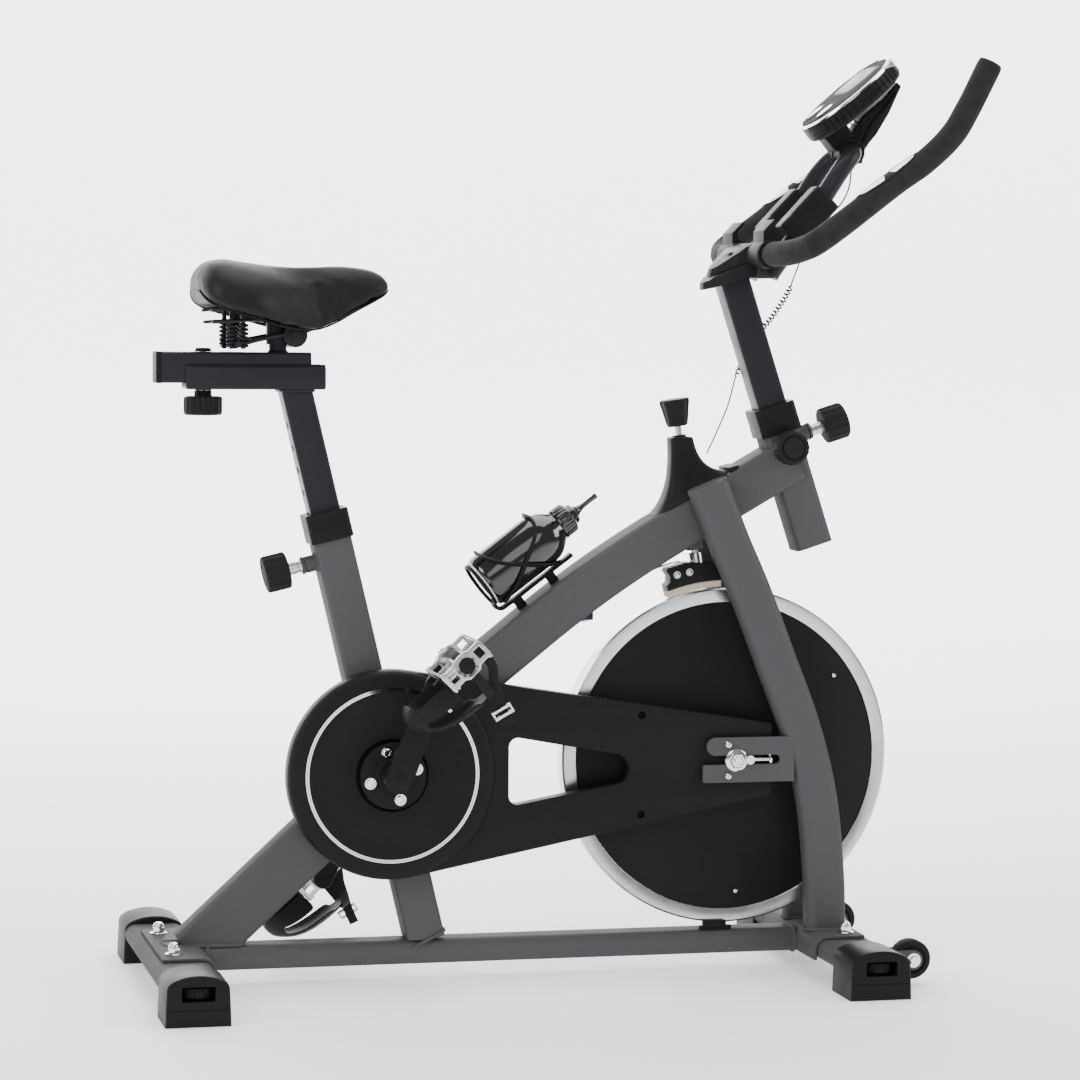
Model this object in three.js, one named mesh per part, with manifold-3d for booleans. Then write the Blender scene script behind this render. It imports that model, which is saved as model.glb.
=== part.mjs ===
// Indoor spin bike: welded steel frame, front flywheel, belt drive, friction pad brake and sliding posts.
// Millimetres. +X is forwards, +Y is to the rider's left, +Z is up and the floor is Z = 0.
// Parts are laid out from the rear stabiliser's rear face, then the group is centred on its length.
import * as THREE from "three";
import { mergeVertices } from "three/addons/utils/BufferGeometryUtils.js";
import Module from "manifold-3d";

const wasm = await Module();
wasm.setup();

// ---- Driving dimensions ----
const LENGTH = 1086.7; // rear stabiliser to handlebar tip, without the free lead
const GAP = 0.3; // clearance left between pieces that touch
const WALL = 2; // steel tube wall
const HALF_TRACK = 260; // half the length of each stabiliser with its end caps
const REAR_BAR_X = 41;
const FRONT_BAR_X = 923;
const BAR = { width: 78, height: 28, z: 40, half: 206 };
const CAP = { width: 82, length: 82, shoulder: 48, top: 64 };
const BEAM = { width: 50, height: 32, top: 56 };
const PLATE = { thick: 4, half: 113 };
const CRANK = { x: 321, z: 279, length: 170, angle: 22 };
const SEAT_TILT = 13.6; // degrees the seat tube leans back
const SEAT_TUBE = { size: 50, low: -240, high: 331 };
const POST = 40; // both posts are square tubes of this size
const SEAT_POST = { low: 165, high: 540 };
const RAIL = { back: 56, front: 238, floor: 778, top: 808, width: 48 };
const SLIDER = { back: 18, front: 219, low: 786, size: 40 };
const SLIDER_BOLT_X = 81;
const SADDLE_POST_X = 178;
const SADDLE_PIVOT = { x: 197, z: 848 };
const HEAD = { x: 860.2, z: 703, tilt: 18, size: 50, low: -139, high: 38, postLow: -58, postHigh: 238 };
const MAIN_TUBE = { height: 60, width: 58, low: [321, 306], bend: [607, 534.6], high: [872, 688] };
const STRUT = { height: 70, width: 40, angle: 42.8, length: 345 };
const LEG = { depth: 55, width: 36, inner: 29.4 };
const LEG_LINE = [
  [744, 654], [773, 582], [803, 515], [838, 427], [876, 328], [899, 240], [911, 136], [914, 50],
];
const AXLE_PLATE = {
  back: 747, front: 864, low: 260, high: 320, slot: 6, slotEnd: 838,
  lobe: 12, corner: 3, inner: 58, outer: 64,
};
const WHEEL = { x: 783, z: 290, radius: 225, half: 14, web: 8, pulley: 28 };
const DRIVE = { near: -35, far: -47, pulley: 104, belt: 4 };
const COVER = {
  radius: 137, front: 836, frontHigh: 338, frontLow: 240, inner: -29.4, arm: -54, drum: -60, wall: 3,
};
const CRANK_FACE = 106; // how far out the crank arms' outer faces are
const PEDAL_END = 216; // how far out the pedals reach
const BRAKE = { x: 713, z: 748, gap: 1.6 };
const TROLLEY = { x: 997, z: 34, radius: 26, y: 156, width: 22 };
const BAR_RADIUS = 12.5;
const GRIP_RADIUS = 16.5;
const ARM_Y = 205; // handlebar arms, out from the middle
const HAIRPIN_Y = 47;
const GRIP_START = 102; // how far out each foam grip begins
const CONSOLE = { x: 951, z: 1167, tilt: 40, long: 152, wide: 140, deep: 30 };
const BOTTLE = { x: 452, z: 523, radius: 36.5, body: 118, angle: 37.2 };
const LEAD_RADIUS = 1.5;
const CURL_RADIUS = 5;

const rad = THREE.MathUtils.degToRad;
const bike = new THREE.Group();
bike.position.x = -LENGTH / 2;

// ---- Materials ----
const FINISHES = {
  gunmetal: [0x5b5c60, 0.38, 0.75],
  blackCoat: [0x1a1b1f, 0.5, 0.4],
  blackPlastic: [0x232426, 0.55, 0],
  coverPlastic: [0x2a2b2d, 0.6, 0],
  rubber: [0x191919, 0.85, 0],
  foam: [0x222222, 0.9, 0],
  vinyl: [0x262828, 0.5, 0],
  chrome: [0xc9cbce, 0.15, 1],
  steel: [0x9a9c9f, 0.3, 1],
  alloy: [0xc4c6c9, 0.3, 1],
  gloss: [0x0c0c0d, 0.12, 0],
  felt: [0xd9cdb4, 0.95, 0],
};

function material(finish) {
  const [color, roughness, metalness] = FINISHES[finish];
  return new THREE.MeshStandardMaterial({ color, roughness, metalness });
}

function part(name, geometry, finish, parent = bike) {
  const mesh = new THREE.Mesh(geometry, material(finish));
  mesh.name = name;
  parent.add(mesh);
  return mesh;
}

// ---- Solid operations ----
function toSolid(geometry) {
  const plain = geometry.clone();
  plain.deleteAttribute("normal");
  plain.deleteAttribute("uv");
  const merged = mergeVertices(plain, 1e-3);
  return new wasm.Manifold(
    new wasm.Mesh({
      numProp: 3,
      vertProperties: Float32Array.from(merged.attributes.position.array),
      triVerts: Uint32Array.from(merged.index.array),
    }),
  );
}

function toGeometry(solid) {
  const mesh = solid.getMesh();
  const geometry = new THREE.BufferGeometry();
  geometry.setAttribute("position", new THREE.BufferAttribute(mesh.vertProperties, 3));
  geometry.setIndex(new THREE.BufferAttribute(mesh.triVerts, 1));
  geometry.computeVertexNormals();
  return geometry;
}

function join(...pieces) {
  return toGeometry(pieces.map(toSolid).reduce((a, b) => a.add(b)));
}

function cut(base, ...tools) {
  return toGeometry(tools.map(toSolid).reduce((a, b) => a.subtract(b), toSolid(base)));
}

// ---- Basic shapes ----
function block(low, high) {
  const size = high.map((v, i) => v - low[i]);
  const middle = high.map((v, i) => (v + low[i]) / 2);
  return new THREE.BoxGeometry(...size).translate(...middle);
}

// A round bar of the given radius between two points.
function rod(from, to, radius, sides = 14, endRadius = radius) {
  const a = new THREE.Vector3(...from);
  const b = new THREE.Vector3(...to);
  const along = b.clone().sub(a);
  const turn = new THREE.Quaternion().setFromUnitVectors(
    new THREE.Vector3(0, 1, 0),
    along.clone().normalize(),
  );
  const geometry = new THREE.CylinderGeometry(endRadius, radius, along.length(), sides);
  geometry.applyQuaternion(turn);
  const middle = a.add(b).multiplyScalar(0.5);
  return geometry.translate(middle.x, middle.y, middle.z);
}

function roundedRect(width, height, radius) {
  const x = width / 2 - radius;
  const y = height / 2 - radius;
  const shape = new THREE.Shape();
  shape.absarc(x, y, radius, 0, Math.PI / 2);
  shape.absarc(-x, y, radius, Math.PI / 2, Math.PI);
  shape.absarc(-x, -y, radius, Math.PI, 1.5 * Math.PI);
  shape.absarc(x, -y, radius, 1.5 * Math.PI, 2 * Math.PI);
  shape.closePath();
  return shape;
}

function hollowRect(width, height, radius, wall) {
  const shape = roundedRect(width, height, radius);
  shape.holes.push(roundedRect(width - 2 * wall, height - 2 * wall, Math.max(radius - wall, 0.5)));
  return shape;
}

function polygon(points) {
  return new THREE.Shape(points.map(([x, y]) => new THREE.Vector2(x, y)));
}

function extrude(shape, depth, curveSegments = 2) {
  return new THREE.ExtrudeGeometry(shape, { depth, bevelEnabled: false, curveSegments });
}

// A side-view outline (X to the right, Z up) given thickness from y = low to y = high.
function sidePlate(shape, low, high, curveSegments = 6) {
  return extrude(shape, high - low, curveSegments).rotateX(Math.PI / 2).translate(0, high, 0);
}

// A section swept along a path; on a path in a side-view plane the section's first axis is Y.
function sweep(points, shape, steps, curveSegments = 2) {
  const path = new THREE.CatmullRomCurve3(points.map((p) => new THREE.Vector3(...p)));
  return new THREE.ExtrudeGeometry(shape, { steps, extrudePath: path, bevelEnabled: false, curveSegments });
}

function circle(radius, bore = 0) {
  const shape = new THREE.Shape();
  shape.absarc(0, 0, radius, 0, 2 * Math.PI);
  if (bore > 0) {
    const hole = new THREE.Path();
    hole.absarc(0, 0, bore, 0, 2 * Math.PI);
    shape.holes.push(hole);
  }
  return shape;
}

// A turned piece about the Y axis from [radius, y] pairs, closed on itself.
function turned(profile, segments = 32) {
  const points = [...profile, profile[0]].map(([r, y]) => new THREE.Vector2(r, y));
  return new THREE.LatheGeometry(points, segments);
}

// Closed skin through rings of points, each ring given in the same order.
function loft(rings) {
  const count = rings[0].length;
  const positions = rings.flat(2);
  const index = [];
  for (let i = 0; i + 1 < rings.length; i++) {
    for (let j = 0; j < count; j++) {
      const a = i * count + j;
      const b = i * count + ((j + 1) % count);
      index.push(a, b, a + count, b, b + count, a + count);
    }
  }
  for (const [ring, flip] of [[0, true], [rings.length - 1, false]]) {
    const centre = positions.length / 3;
    const points = rings[ring];
    for (let axis = 0; axis < 3; axis++) positions.push(points.reduce((s, p) => s + p[axis], 0) / count);
    for (let j = 0; j < count; j++) {
      const a = ring * count + j;
      const b = ring * count + ((j + 1) % count);
      index.push(...(flip ? [b, a, centre] : [a, b, centre]));
    }
  }
  const geometry = new THREE.BufferGeometry();
  geometry.setAttribute("position", new THREE.Float32BufferAttribute(positions, 3));
  geometry.setIndex(index);
  geometry.computeVertexNormals();
  return geometry;
}

// Moves a piece built about the origin, Z up, onto a leaning axis through (x, z).
function lean(geometry, { x, z, tilt }) {
  return geometry.rotateY(-rad(tilt)).translate(x, 0, z);
}

const SEAT_AXIS = { x: CRANK.x, z: CRANK.z, tilt: SEAT_TILT };
const sideCut = (low, high) => block([-500, -500, low], [2000, 500, high]);

// ---- Frame ----
// Outline of a stabiliser bar seen from its end, grown by a margin.
function barSection(margin = 0) {
  const height = BAR.height + 2 * margin;
  return roundedRect(BAR.width + 2 * margin, height, height / 2 - 0.5);
}

function barSolid(x, margin, half = BAR.half, wall = 0) {
  const shape = wall ? hollowRect(BAR.width, BAR.height, BAR.height / 2 - 0.5, wall) : barSection(margin);
  return extrude(shape, 2 * half, 3).rotateX(Math.PI / 2).translate(x, half, BAR.z);
}

// Half-saddle that wraps one side of a stabiliser, welded to the beam; side is the beam's direction.
function saddlePlate(x, side) {
  const wrap = barSolid(x, PLATE.thick + GAP, PLATE.half);
  const low = Math.min(x - 26 * side, x + 60 * side);
  const high = Math.max(x - 26 * side, x + 60 * side);
  const keep = block([low, -PLATE.half, BAR.z + 4], [high, PLATE.half, BAR.z + 60]);
  const nose = block([x + 20 * side - 40, -PLATE.half, 27], [x + 20 * side + 40, PLATE.half, BAR.z + 5]);
  const past = block([x - 80, -200, 0], [x + 80, 200, 90]).translate(-side * 105, 0, 0);
  const kept = toSolid(wrap).intersect(toSolid(join(keep, nose))).subtract(toSolid(past));
  return toGeometry(kept);
}

function baseBeam() {
  const shape = hollowRect(BEAM.width, BEAM.height, 9, WALL + 1);
  const beam = extrude(shape, FRONT_BAR_X - REAR_BAR_X - 40)
    .rotateZ(Math.PI / 2)
    .rotateY(Math.PI / 2)
    .translate(REAR_BAR_X + 20, 0, BEAM.top - BEAM.height / 2);
  const bore = block([REAR_BAR_X + 20, -18, BEAM.top - 24], [FRONT_BAR_X - 20, 18, BEAM.top - 8]);
  const whole = join(beam, saddlePlate(REAR_BAR_X, 1), saddlePlate(FRONT_BAR_X, -1));
  return cut(whole, bore, barSolid(REAR_BAR_X, GAP, 300), barSolid(FRONT_BAR_X, GAP, 300));
}

function seatTubeOuter(margin = 0) {
  const size = SEAT_TUBE.size + 2 * margin;
  return lean(
    extrude(roundedRect(size, size, 5), SEAT_TUBE.high - SEAT_TUBE.low).translate(0, 0, SEAT_TUBE.low),
    SEAT_AXIS,
  );
}

const crankPoint = (y) => [CRANK.x, y, CRANK.z];

// Pop-pin boss welded on a tube's face at height z along the tube.
function pinBoss(axis, direction, z) {
  const reach = SEAT_TUBE.size / 2;
  return lean(rod([direction * (reach - 1), 0, z], [direction * (reach + 16), 0, z], 11, 12), axis);
}

function pinBore(axis, direction, z) {
  return lean(rod([direction * 15, 0, z], [direction * 60, 0, z], 5.6, 12), axis);
}

const SEAT_PIN_Z = 288; // along the seat tube from the crank axle
const BAR_PIN_Z = 8;
const PIN_OUT = 41; // spring pin flanges, out from the tube's middle

// The room inside the seat tube that the post slides through.
function postSpace() {
  const size = SEAT_TUBE.size - 2 * WALL;
  return lean(extrude(roundedRect(size, size, 3), 308).translate(0, 0, 24), SEAT_AXIS);
}

function rearStrut() {
  const tube = extrude(hollowRect(STRUT.height, STRUT.width, 6, WALL), STRUT.length)
    .rotateY(-Math.PI / 2)
    .rotateY(-rad(STRUT.angle))
    .translate(CRANK.x, 0, CRANK.z);
  const plateTop = BAR.z + BAR.height / 2 + PLATE.thick + 2 * GAP;
  const overPlate = block([-300, -100, -200], [REAR_BAR_X + 45, 100, plateTop]);
  return cut(tube, seatTubeOuter(-1), overPlate, sideCut(-300, BEAM.top + GAP));
}

function seatTube() {
  const tube = lean(
    extrude(hollowRect(SEAT_TUBE.size, SEAT_TUBE.size, 5, WALL), SEAT_TUBE.high - SEAT_TUBE.low)
      .translate(0, 0, SEAT_TUBE.low),
    SEAT_AXIS,
  );
  const shell = rod(crankPoint(-29), crankPoint(29), 22, 16);
  const bore = rod(crankPoint(-40), crankPoint(40), 16, 14);
  const whole = join(tube, shell, rearStrut(), pinBoss(SEAT_AXIS, -1, SEAT_PIN_Z));
  return cut(whole, bore, postSpace(), pinBore(SEAT_AXIS, -1, SEAT_PIN_Z), sideCut(-100, BEAM.top + GAP));
}

const headOuter = (margin) =>
  lean(
    extrude(
      roundedRect(HEAD.size + 2 * margin, HEAD.size + 2 * margin, 7),
      HEAD.high - HEAD.low,
    ).translate(0, 0, HEAD.low),
    HEAD,
  );

function headTube() {
  const tube = lean(
    extrude(hollowRect(HEAD.size, HEAD.size, 7, WALL), HEAD.high - HEAD.low).translate(0, 0, HEAD.low),
    HEAD,
  );
  return cut(join(tube, pinBoss(HEAD, 1, BAR_PIN_Z)), pinBore(HEAD, 1, BAR_PIN_Z));
}

// The main tube's centre line: two straight runs and a gentle bend between them.
function mainTubeLine() {
  const at = ([x, z]) => new THREE.Vector3(x, 0, z);
  const [low, bend, high] = [at(MAIN_TUBE.low), at(MAIN_TUBE.bend), at(MAIN_TUBE.high)];
  const before = bend.clone().lerp(low, 0.28);
  const after = bend.clone().lerp(high, 0.36);
  const points = [low, low.clone().lerp(before, 0.5), before];
  const arc = new THREE.QuadraticBezierCurve3(before, bend, after);
  points.push(...arc.getPoints(4).slice(1));
  points.push(after.clone().lerp(high, 0.5), high);
  return points.map((p) => p.toArray());
}

function mainTubeSolid(margin, wall = 0) {
  const width = MAIN_TUBE.width + 2 * margin;
  const height = MAIN_TUBE.height + 2 * margin;
  const shape = wall ? hollowRect(width, height, 5, wall) : roundedRect(width, height, 5);
  return sweep(mainTubeLine(), shape, 8, 1);
}

const BRAKE_AXIS = new THREE.Vector3(WHEEL.x - BRAKE.x, 0, WHEEL.z - BRAKE.z).normalize();
const brakePoint = (distance) => [BRAKE.x + BRAKE_AXIS.x * distance, 0, BRAKE.z + BRAKE_AXIS.z * distance];

function mainTube() {
  const brakeBore = rod(brakePoint(0), brakePoint(240), 9, 12);
  const shell = rod(crankPoint(-40), crankPoint(40), 22 + 2 * GAP, 16);
  const tube = cut(mainTubeSolid(0, WALL), seatTubeOuter(GAP), headOuter(-1), shell, brakeBore);
  const stud = rod([HEAD.x, -15, HEAD.z], [HEAD.x, -40, HEAD.z], 5.6, 12);
  return cut(join(tube, headTube()), stud);
}

// Slotted plate welded behind a fork leg to hold one end of the flywheel axle.
function axlePlate() {
  const outline = new THREE.Shape();
  const { back, front, low, high, slot, slotEnd, lobe, corner, inner, outer } = AXLE_PLATE;
  const lowerBack = back - 9;
  const mouth = WHEEL.z - slot;
  outline.moveTo(front, low);
  outline.lineTo(front, high);
  outline.lineTo(back + 8, high);
  outline.absarc(back + 8, high - lobe, lobe, Math.PI / 2, 1.5 * Math.PI);
  outline.lineTo(slotEnd, WHEEL.z + slot);
  outline.absarc(slotEnd, WHEEL.z, slot, Math.PI / 2, -Math.PI / 2, true);
  outline.lineTo(lowerBack + corner, mouth);
  outline.lineTo(lowerBack, mouth - corner);
  outline.lineTo(lowerBack, low + corner);
  outline.lineTo(lowerBack + corner, low);
  outline.closePath();
  return sidePlate(outline, inner, outer, 4);
}

function forkLeg(side) {
  const y = side * (LEG.inner + LEG.width / 2);
  const points = LEG_LINE.map(([x, z]) => [x, y, z]);
  const foot = BAR.z + BAR.height / 2 + PLATE.thick + 2 * GAP;
  const mirrored = -(AXLE_PLATE.inner + AXLE_PLATE.outer);
  const plate = axlePlate().translate(0, side < 0 ? mirrored : 0, 0);
  const inside = sweep(points, roundedRect(LEG.width - 2 * WALL, LEG.depth - 2 * WALL, 11), 7);
  const leg = join(sweep(points, roundedRect(LEG.width, LEG.depth, 13), 7), plate);
  return cut(leg, inside, sideCut(-200, foot));
}

function endCap() {
  const outline = new THREE.Shape();
  const half = CAP.width / 2;
  outline.moveTo(-half, 0);
  outline.lineTo(half, 0);
  outline.lineTo(half - 2, CAP.shoulder);
  outline.quadraticCurveTo(half - 5, CAP.top, 0, CAP.top);
  outline.quadraticCurveTo(5 - half, CAP.top, 2 - half, CAP.shoulder);
  outline.closePath();
  const body = sidePlate(outline, 0, CAP.length, 3);
  const depth = BAR.half - (HALF_TRACK - CAP.length);
  const pocket = extrude(barSection(GAP), depth + 5 + GAP, 3)
    .rotateX(Math.PI / 2)
    .translate(0, depth + GAP, BAR.z);
  const window = block([-21, CAP.length - 44, 32], [21, CAP.length + 1, 50]);
  const stemHole = rod([0, CAP.length - 22, -1], [0, CAP.length - 22, 40], 6.5, 12);
  return cut(body, pocket, window, stemHole);
}

// Knurled levelling wheel on a short threaded foot.
function leveller() {
  const grip = ribbedDisc(17, 0.7, 16, 13).translate(0, 0, 34.5);
  const stem = rod([0, 0, 0.4], [0, 0, 36], 5.5, 12);
  return join(grip, stem);
}

// A disc with rounded ribs round its edge, standing on Z = 0.
function ribbedDisc(radius, rib, ribs, thick, perRib = 2) {
  const count = ribs * perRib;
  const points = [];
  for (let i = 0; i < count; i++) {
    const angle = (2 * Math.PI * i) / count;
    const r = radius + rib * Math.cos(ribs * angle);
    points.push([r * Math.cos(angle), r * Math.sin(angle)]);
  }
  return extrude(polygon(points), thick);
}

function frontStabiliser() {
  let bar = barSolid(FRONT_BAR_X, 0, BAR.half, WALL);
  for (const side of [-1, 1]) {
    for (const reach of [-1, 1]) {
      const y = side * TROLLEY.y + reach * (TROLLEY.width / 2 + 3);
      const arm = new THREE.Shape();
      arm.moveTo(FRONT_BAR_X + 30, TROLLEY.z + 13);
      arm.absarc(TROLLEY.x, TROLLEY.z, 13, Math.PI / 2, -Math.PI / 2, true);
      arm.lineTo(FRONT_BAR_X + 30, TROLLEY.z - 3);
      arm.closePath();
      bar = join(bar, sidePlate(arm, y - 1.5, y + 1.5));
    }
    const y = side * TROLLEY.y;
    const pin = rod([TROLLEY.x, y - 13, TROLLEY.z], [TROLLEY.x, y + 13, TROLLEY.z], 4, 12);
    bar = join(bar, pin);
  }
  const room = hollowRect(BAR.width - 2 * WALL, BAR.height - 2 * WALL, 11, 4);
  const inside = extrude(room, 2 * BAR.half + 2, 3);
  inside.rotateX(Math.PI / 2).translate(FRONT_BAR_X, BAR.half + 1, BAR.z);
  return cut(bar, inside);
}

function buildFrame() {
  part("base_beam", baseBeam(), "gunmetal");
  part("seat_tube", seatTube(), "gunmetal");
  part("main_tube", mainTube(), "gunmetal");
  part("fork_leg_right", forkLeg(-1), "gunmetal");
  part("fork_leg_left", forkLeg(1), "gunmetal");
  part("rear_stabiliser", barSolid(REAR_BAR_X, 0, BAR.half, WALL), "gunmetal");
  part("front_stabiliser", frontStabiliser(), "gunmetal");
  for (const [end, x] of [["rear", REAR_BAR_X], ["front", FRONT_BAR_X]]) {
    for (const [side, sign] of [["right", -1], ["left", 1]]) {
      const corner = new THREE.Group();
      corner.position.set(x, sign * (HALF_TRACK - CAP.length), 0);
      corner.rotation.z = sign < 0 ? Math.PI : 0;
      bike.add(corner);
      part(`${end}_cap_${side}`, endCap(), "blackPlastic", corner);
      part(`${end}_leveller_${side}`, leveller(), "rubber", corner).position.y = CAP.length - 22;
    }
  }
  for (const [side, sign] of [["right", -1], ["left", 1]]) {
    const half = TROLLEY.width / 2 - 0.5;
    const tyre = turned([[4.4, -half], [TROLLEY.radius - 3, -half], [TROLLEY.radius, 3 - half],
      [TROLLEY.radius, half - 3], [TROLLEY.radius - 3, half], [4.4, half]], 20);
    part(`transport_wheel_${side}`, tyre, "rubber").position.set(TROLLEY.x, sign * TROLLEY.y, TROLLEY.z);
  }
}

// ---- Flywheel, belt drive and cranks ----
function flywheel() {
  const web = WHEEL.web / 2;
  return turned([[10.9, DRIVE.far], [WHEEL.pulley, DRIVE.far], [WHEEL.pulley, DRIVE.near], [20, DRIVE.near],
    [20, -web], [207, -web], [207, -WHEEL.half], [WHEEL.radius, -WHEEL.half], [WHEEL.radius, WHEEL.half],
    [207, WHEEL.half], [207, web], [24, web], [24, 24], [10.9, 24]], 32);
}

function flywheelDisc() {
  return turned([[26, -0.8], [205, -0.8], [205, 0.8], [26, 0.8]], 28);
}

const wheelPoint = (y) => [WHEEL.x, y, WHEEL.z];

function flywheelAxle() {
  const thick = rod(wheelPoint(-57.7), wheelPoint(57.7), 10, 16);
  const thin = rod(wheelPoint(-80), wheelPoint(80), 5.6, 12);
  let axle = join(thick, thin);
  for (const side of [-1, 1]) {
    const flange = rod(wheelPoint(side * 64.3), wheelPoint(side * 66.5), 15, 16);
    const nut = rod(wheelPoint(side * 66), wheelPoint(side * 75), 12, 6);
    axle = join(axle, flange, nut);
  }
  return axle;
}

// Outer outline of the belt guard: a drum round the crank and a tapering arm to the fork.
function coverOutline(inset) {
  const { radius, front, frontHigh, frontLow } = COVER;
  const r = radius - inset;
  const x = front - inset;
  const high = { x, z: frontHigh - inset };
  const low = { x, z: frontLow + inset };
  const shape = new THREE.Shape();
  const tangent = (p, side) => {
    const [dx, dz] = [p.x - CRANK.x, p.z - CRANK.z];
    return Math.atan2(dz, dx) + side * Math.acos(r / Math.hypot(dx, dz));
  };
  shape.moveTo(low.x, low.z);
  shape.lineTo(high.x, high.z);
  shape.absarc(CRANK.x, CRANK.z, r, tangent(high, 1), tangent(low, -1) + 2 * Math.PI);
  shape.closePath();
  return shape;
}

// Tapered opening through the guard between the drum and the front pulley.
function coverWindow(margin) {
  const shape = new THREE.Shape();
  const corner = 12 + margin;
  const tip = 20 + margin;
  shape.absarc(489, 312, corner, Math.PI / 2 - 0.15, Math.PI);
  shape.absarc(489, 248, corner, Math.PI, 1.5 * Math.PI + 0.14);
  shape.absarc(619, 280, tip, -Math.PI / 2 + 0.14, Math.PI / 2 - 0.15);
  shape.closePath();
  return shape;
}

function beltCover() {
  const { inner, arm, drum, wall, radius } = COVER;
  const drumDisc = rod(crankPoint(drum), crankPoint(arm + 8), radius - 1, 36);
  const outside = join(sidePlate(coverOutline(0), arm, inner, 28), drumDisc);
  const cavity = sidePlate(coverOutline(wall), arm + wall, inner - wall, 12);
  const drumCavity = rod(crankPoint(drum + wall + 4), crankPoint(inner - wall - 3), radius - 12, 24);
  const windowWall = sidePlate(coverWindow(wall), arm + wall - 1, inner - wall + 1, 6);
  const room = cut(join(cavity, drumCavity), windowWall);
  const dish = turned([[30, -6], [111, -6], [111, -4.1], [107, 0], [30, 0]], 24);
  dish.translate(CRANK.x, drum + 4, CRANK.z);
  const hole = rod(crankPoint(drum - 5), crankPoint(inner - wall - 1), 47, 20);
  const axleHole = rod(crankPoint(inner - wall - 5), crankPoint(inner + 5), 24, 16);
  const hub = rod(wheelPoint(inner - wall - 5), wheelPoint(inner + 5), 24, 16);
  const axle = rod(wheelPoint(arm - 5), wheelPoint(inner), 14, 14);
  const opening = sidePlate(coverWindow(0), drum - 5, inner + 5, 6);
  return cut(outside, room, dish, hole, axleHole, hub, axle, opening);
}

function beltOutline(margin) {
  const [big, small] = [DRIVE.pulley + margin, WHEEL.pulley + margin];
  const [dx, dz] = [WHEEL.x - CRANK.x, WHEEL.z - CRANK.z];
  const lineAngle = Math.atan2(dz, dx);
  const spread = Math.acos((big - small) / Math.hypot(dx, dz));
  const shape = new THREE.Shape();
  shape.absarc(CRANK.x, CRANK.z, big, lineAngle + spread, lineAngle - spread + 2 * Math.PI);
  shape.absarc(WHEEL.x, WHEEL.z, small, lineAngle - spread, lineAngle + spread);
  shape.closePath();
  return shape;
}

function driveBelt() {
  const outline = beltOutline(GAP + DRIVE.belt);
  outline.holes.push(beltOutline(GAP + 0.2));
  return sidePlate(outline, DRIVE.far + 1, DRIVE.near - 1, 10);
}

// Crank axle with the big belt pulley and its bolt disc.
function crankPulley() {
  return turned([[0.01, -92], [10, -92], [10, -66], [43.5, -66], [43.5, -62], [30, -62], [30, DRIVE.far],
    [DRIVE.pulley, DRIVE.far], [DRIVE.pulley, DRIVE.near], [15, DRIVE.near], [15, -31], [10, -31],
    [10, 92], [0.01, 92]], 20);
}

// A crank arm with its pedal spindle, pointing up the local Z axis, outer face at -CRANK_FACE.
function crankArm() {
  const outline = new THREE.Shape();
  outline.absarc(0, 0, 19, Math.PI + 0.2, 2 * Math.PI - 0.2);
  outline.absarc(0, CRANK.length, 13, 0, Math.PI);
  outline.closePath();
  const arm = sidePlate(outline, -CRANK_FACE, 13 - CRANK_FACE, 8);
  const spindle = rod([0, -CRANK_FACE + 1, CRANK.length], [0, -PEDAL_END + 3, CRANK.length], 6, 10);
  const square = rod([0, -CRANK_FACE - 1, 0], [0, -70, 0], 10.3, 14);
  const cap = rod([0, -CRANK_FACE - 1, 0], [0, 3 - CRANK_FACE, 0], 14, 14);
  return join(cut(arm, square), spindle, cap);
}

// Alloy cage pedal: toe end towards local +X, spindle along Y, on the right-hand (-Y) side of the bike.
function pedal() {
  const [from, to] = [-PEDAL_END, -CRANK_FACE - 12];
  const outside = new THREE.Shape();
  outside.absarc(24, 0, 10, -Math.PI / 2, Math.PI / 2);
  outside.lineTo(0, 16);
  outside.lineTo(-24, 12);
  outside.absarc(-26, 0, 8, Math.PI / 2, 1.5 * Math.PI);
  outside.lineTo(0, -16);
  outside.closePath();
  const body = sidePlate(outside, from, to, 4);
  const front = block([12.5, from + 13, -30], [28, to - 13, 30]);
  const back = block([-27, from + 13, -30], [-12.5, to - 13, 30]);
  const bore = rod([0, from - 1, 0], [0, to + 5, 0], 6.6, 10);
  return cut(body, front, back, bore);
}

// Toe cage and strap for a pedal: a cup open at the back, and a band that goes round the pedal.
function toeClip() {
  const middle = -(PEDAL_END + CRANK_FACE + 12) / 2;
  const outline = (inset, back) => {
    const shape = new THREE.Shape();
    shape.moveTo(back, 17 + inset);
    shape.lineTo(38, 17 + inset);
    shape.lineTo(44, inset - 10);
    shape.quadraticCurveTo(96 - inset, inset - 12, 104 - inset, 10);
    shape.quadraticCurveTo(103 - inset, 40 - inset, 82 - inset, 50 - inset);
    shape.quadraticCurveTo(58, 61 - inset, back, 61 - inset);
    shape.closePath();
    return sidePlate(shape, middle - 36 + inset, middle + 36 - inset, 4);
  };
  const cup = cut(outline(0, 6), outline(3, 0), block([38, middle - 26, -20], [75, middle + 26, 10]));
  const [from, to] = [-PEDAL_END - 2.2, -CRANK_FACE - 9.8];
  const band = cut(block([-9, from, -19], [9, to, 62.5]), block([-20, from + 2, -17], [20, to - 2, 61.3]));
  const spindle = rod([0, -300, 0], [0, -50, 0], 8, 12);
  const strap = cut(band, spindle);
  const buckle = block([-10, middle - 12, 60], [10, middle + 8, 66]);
  return join(cup, strap, buckle);
}

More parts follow.
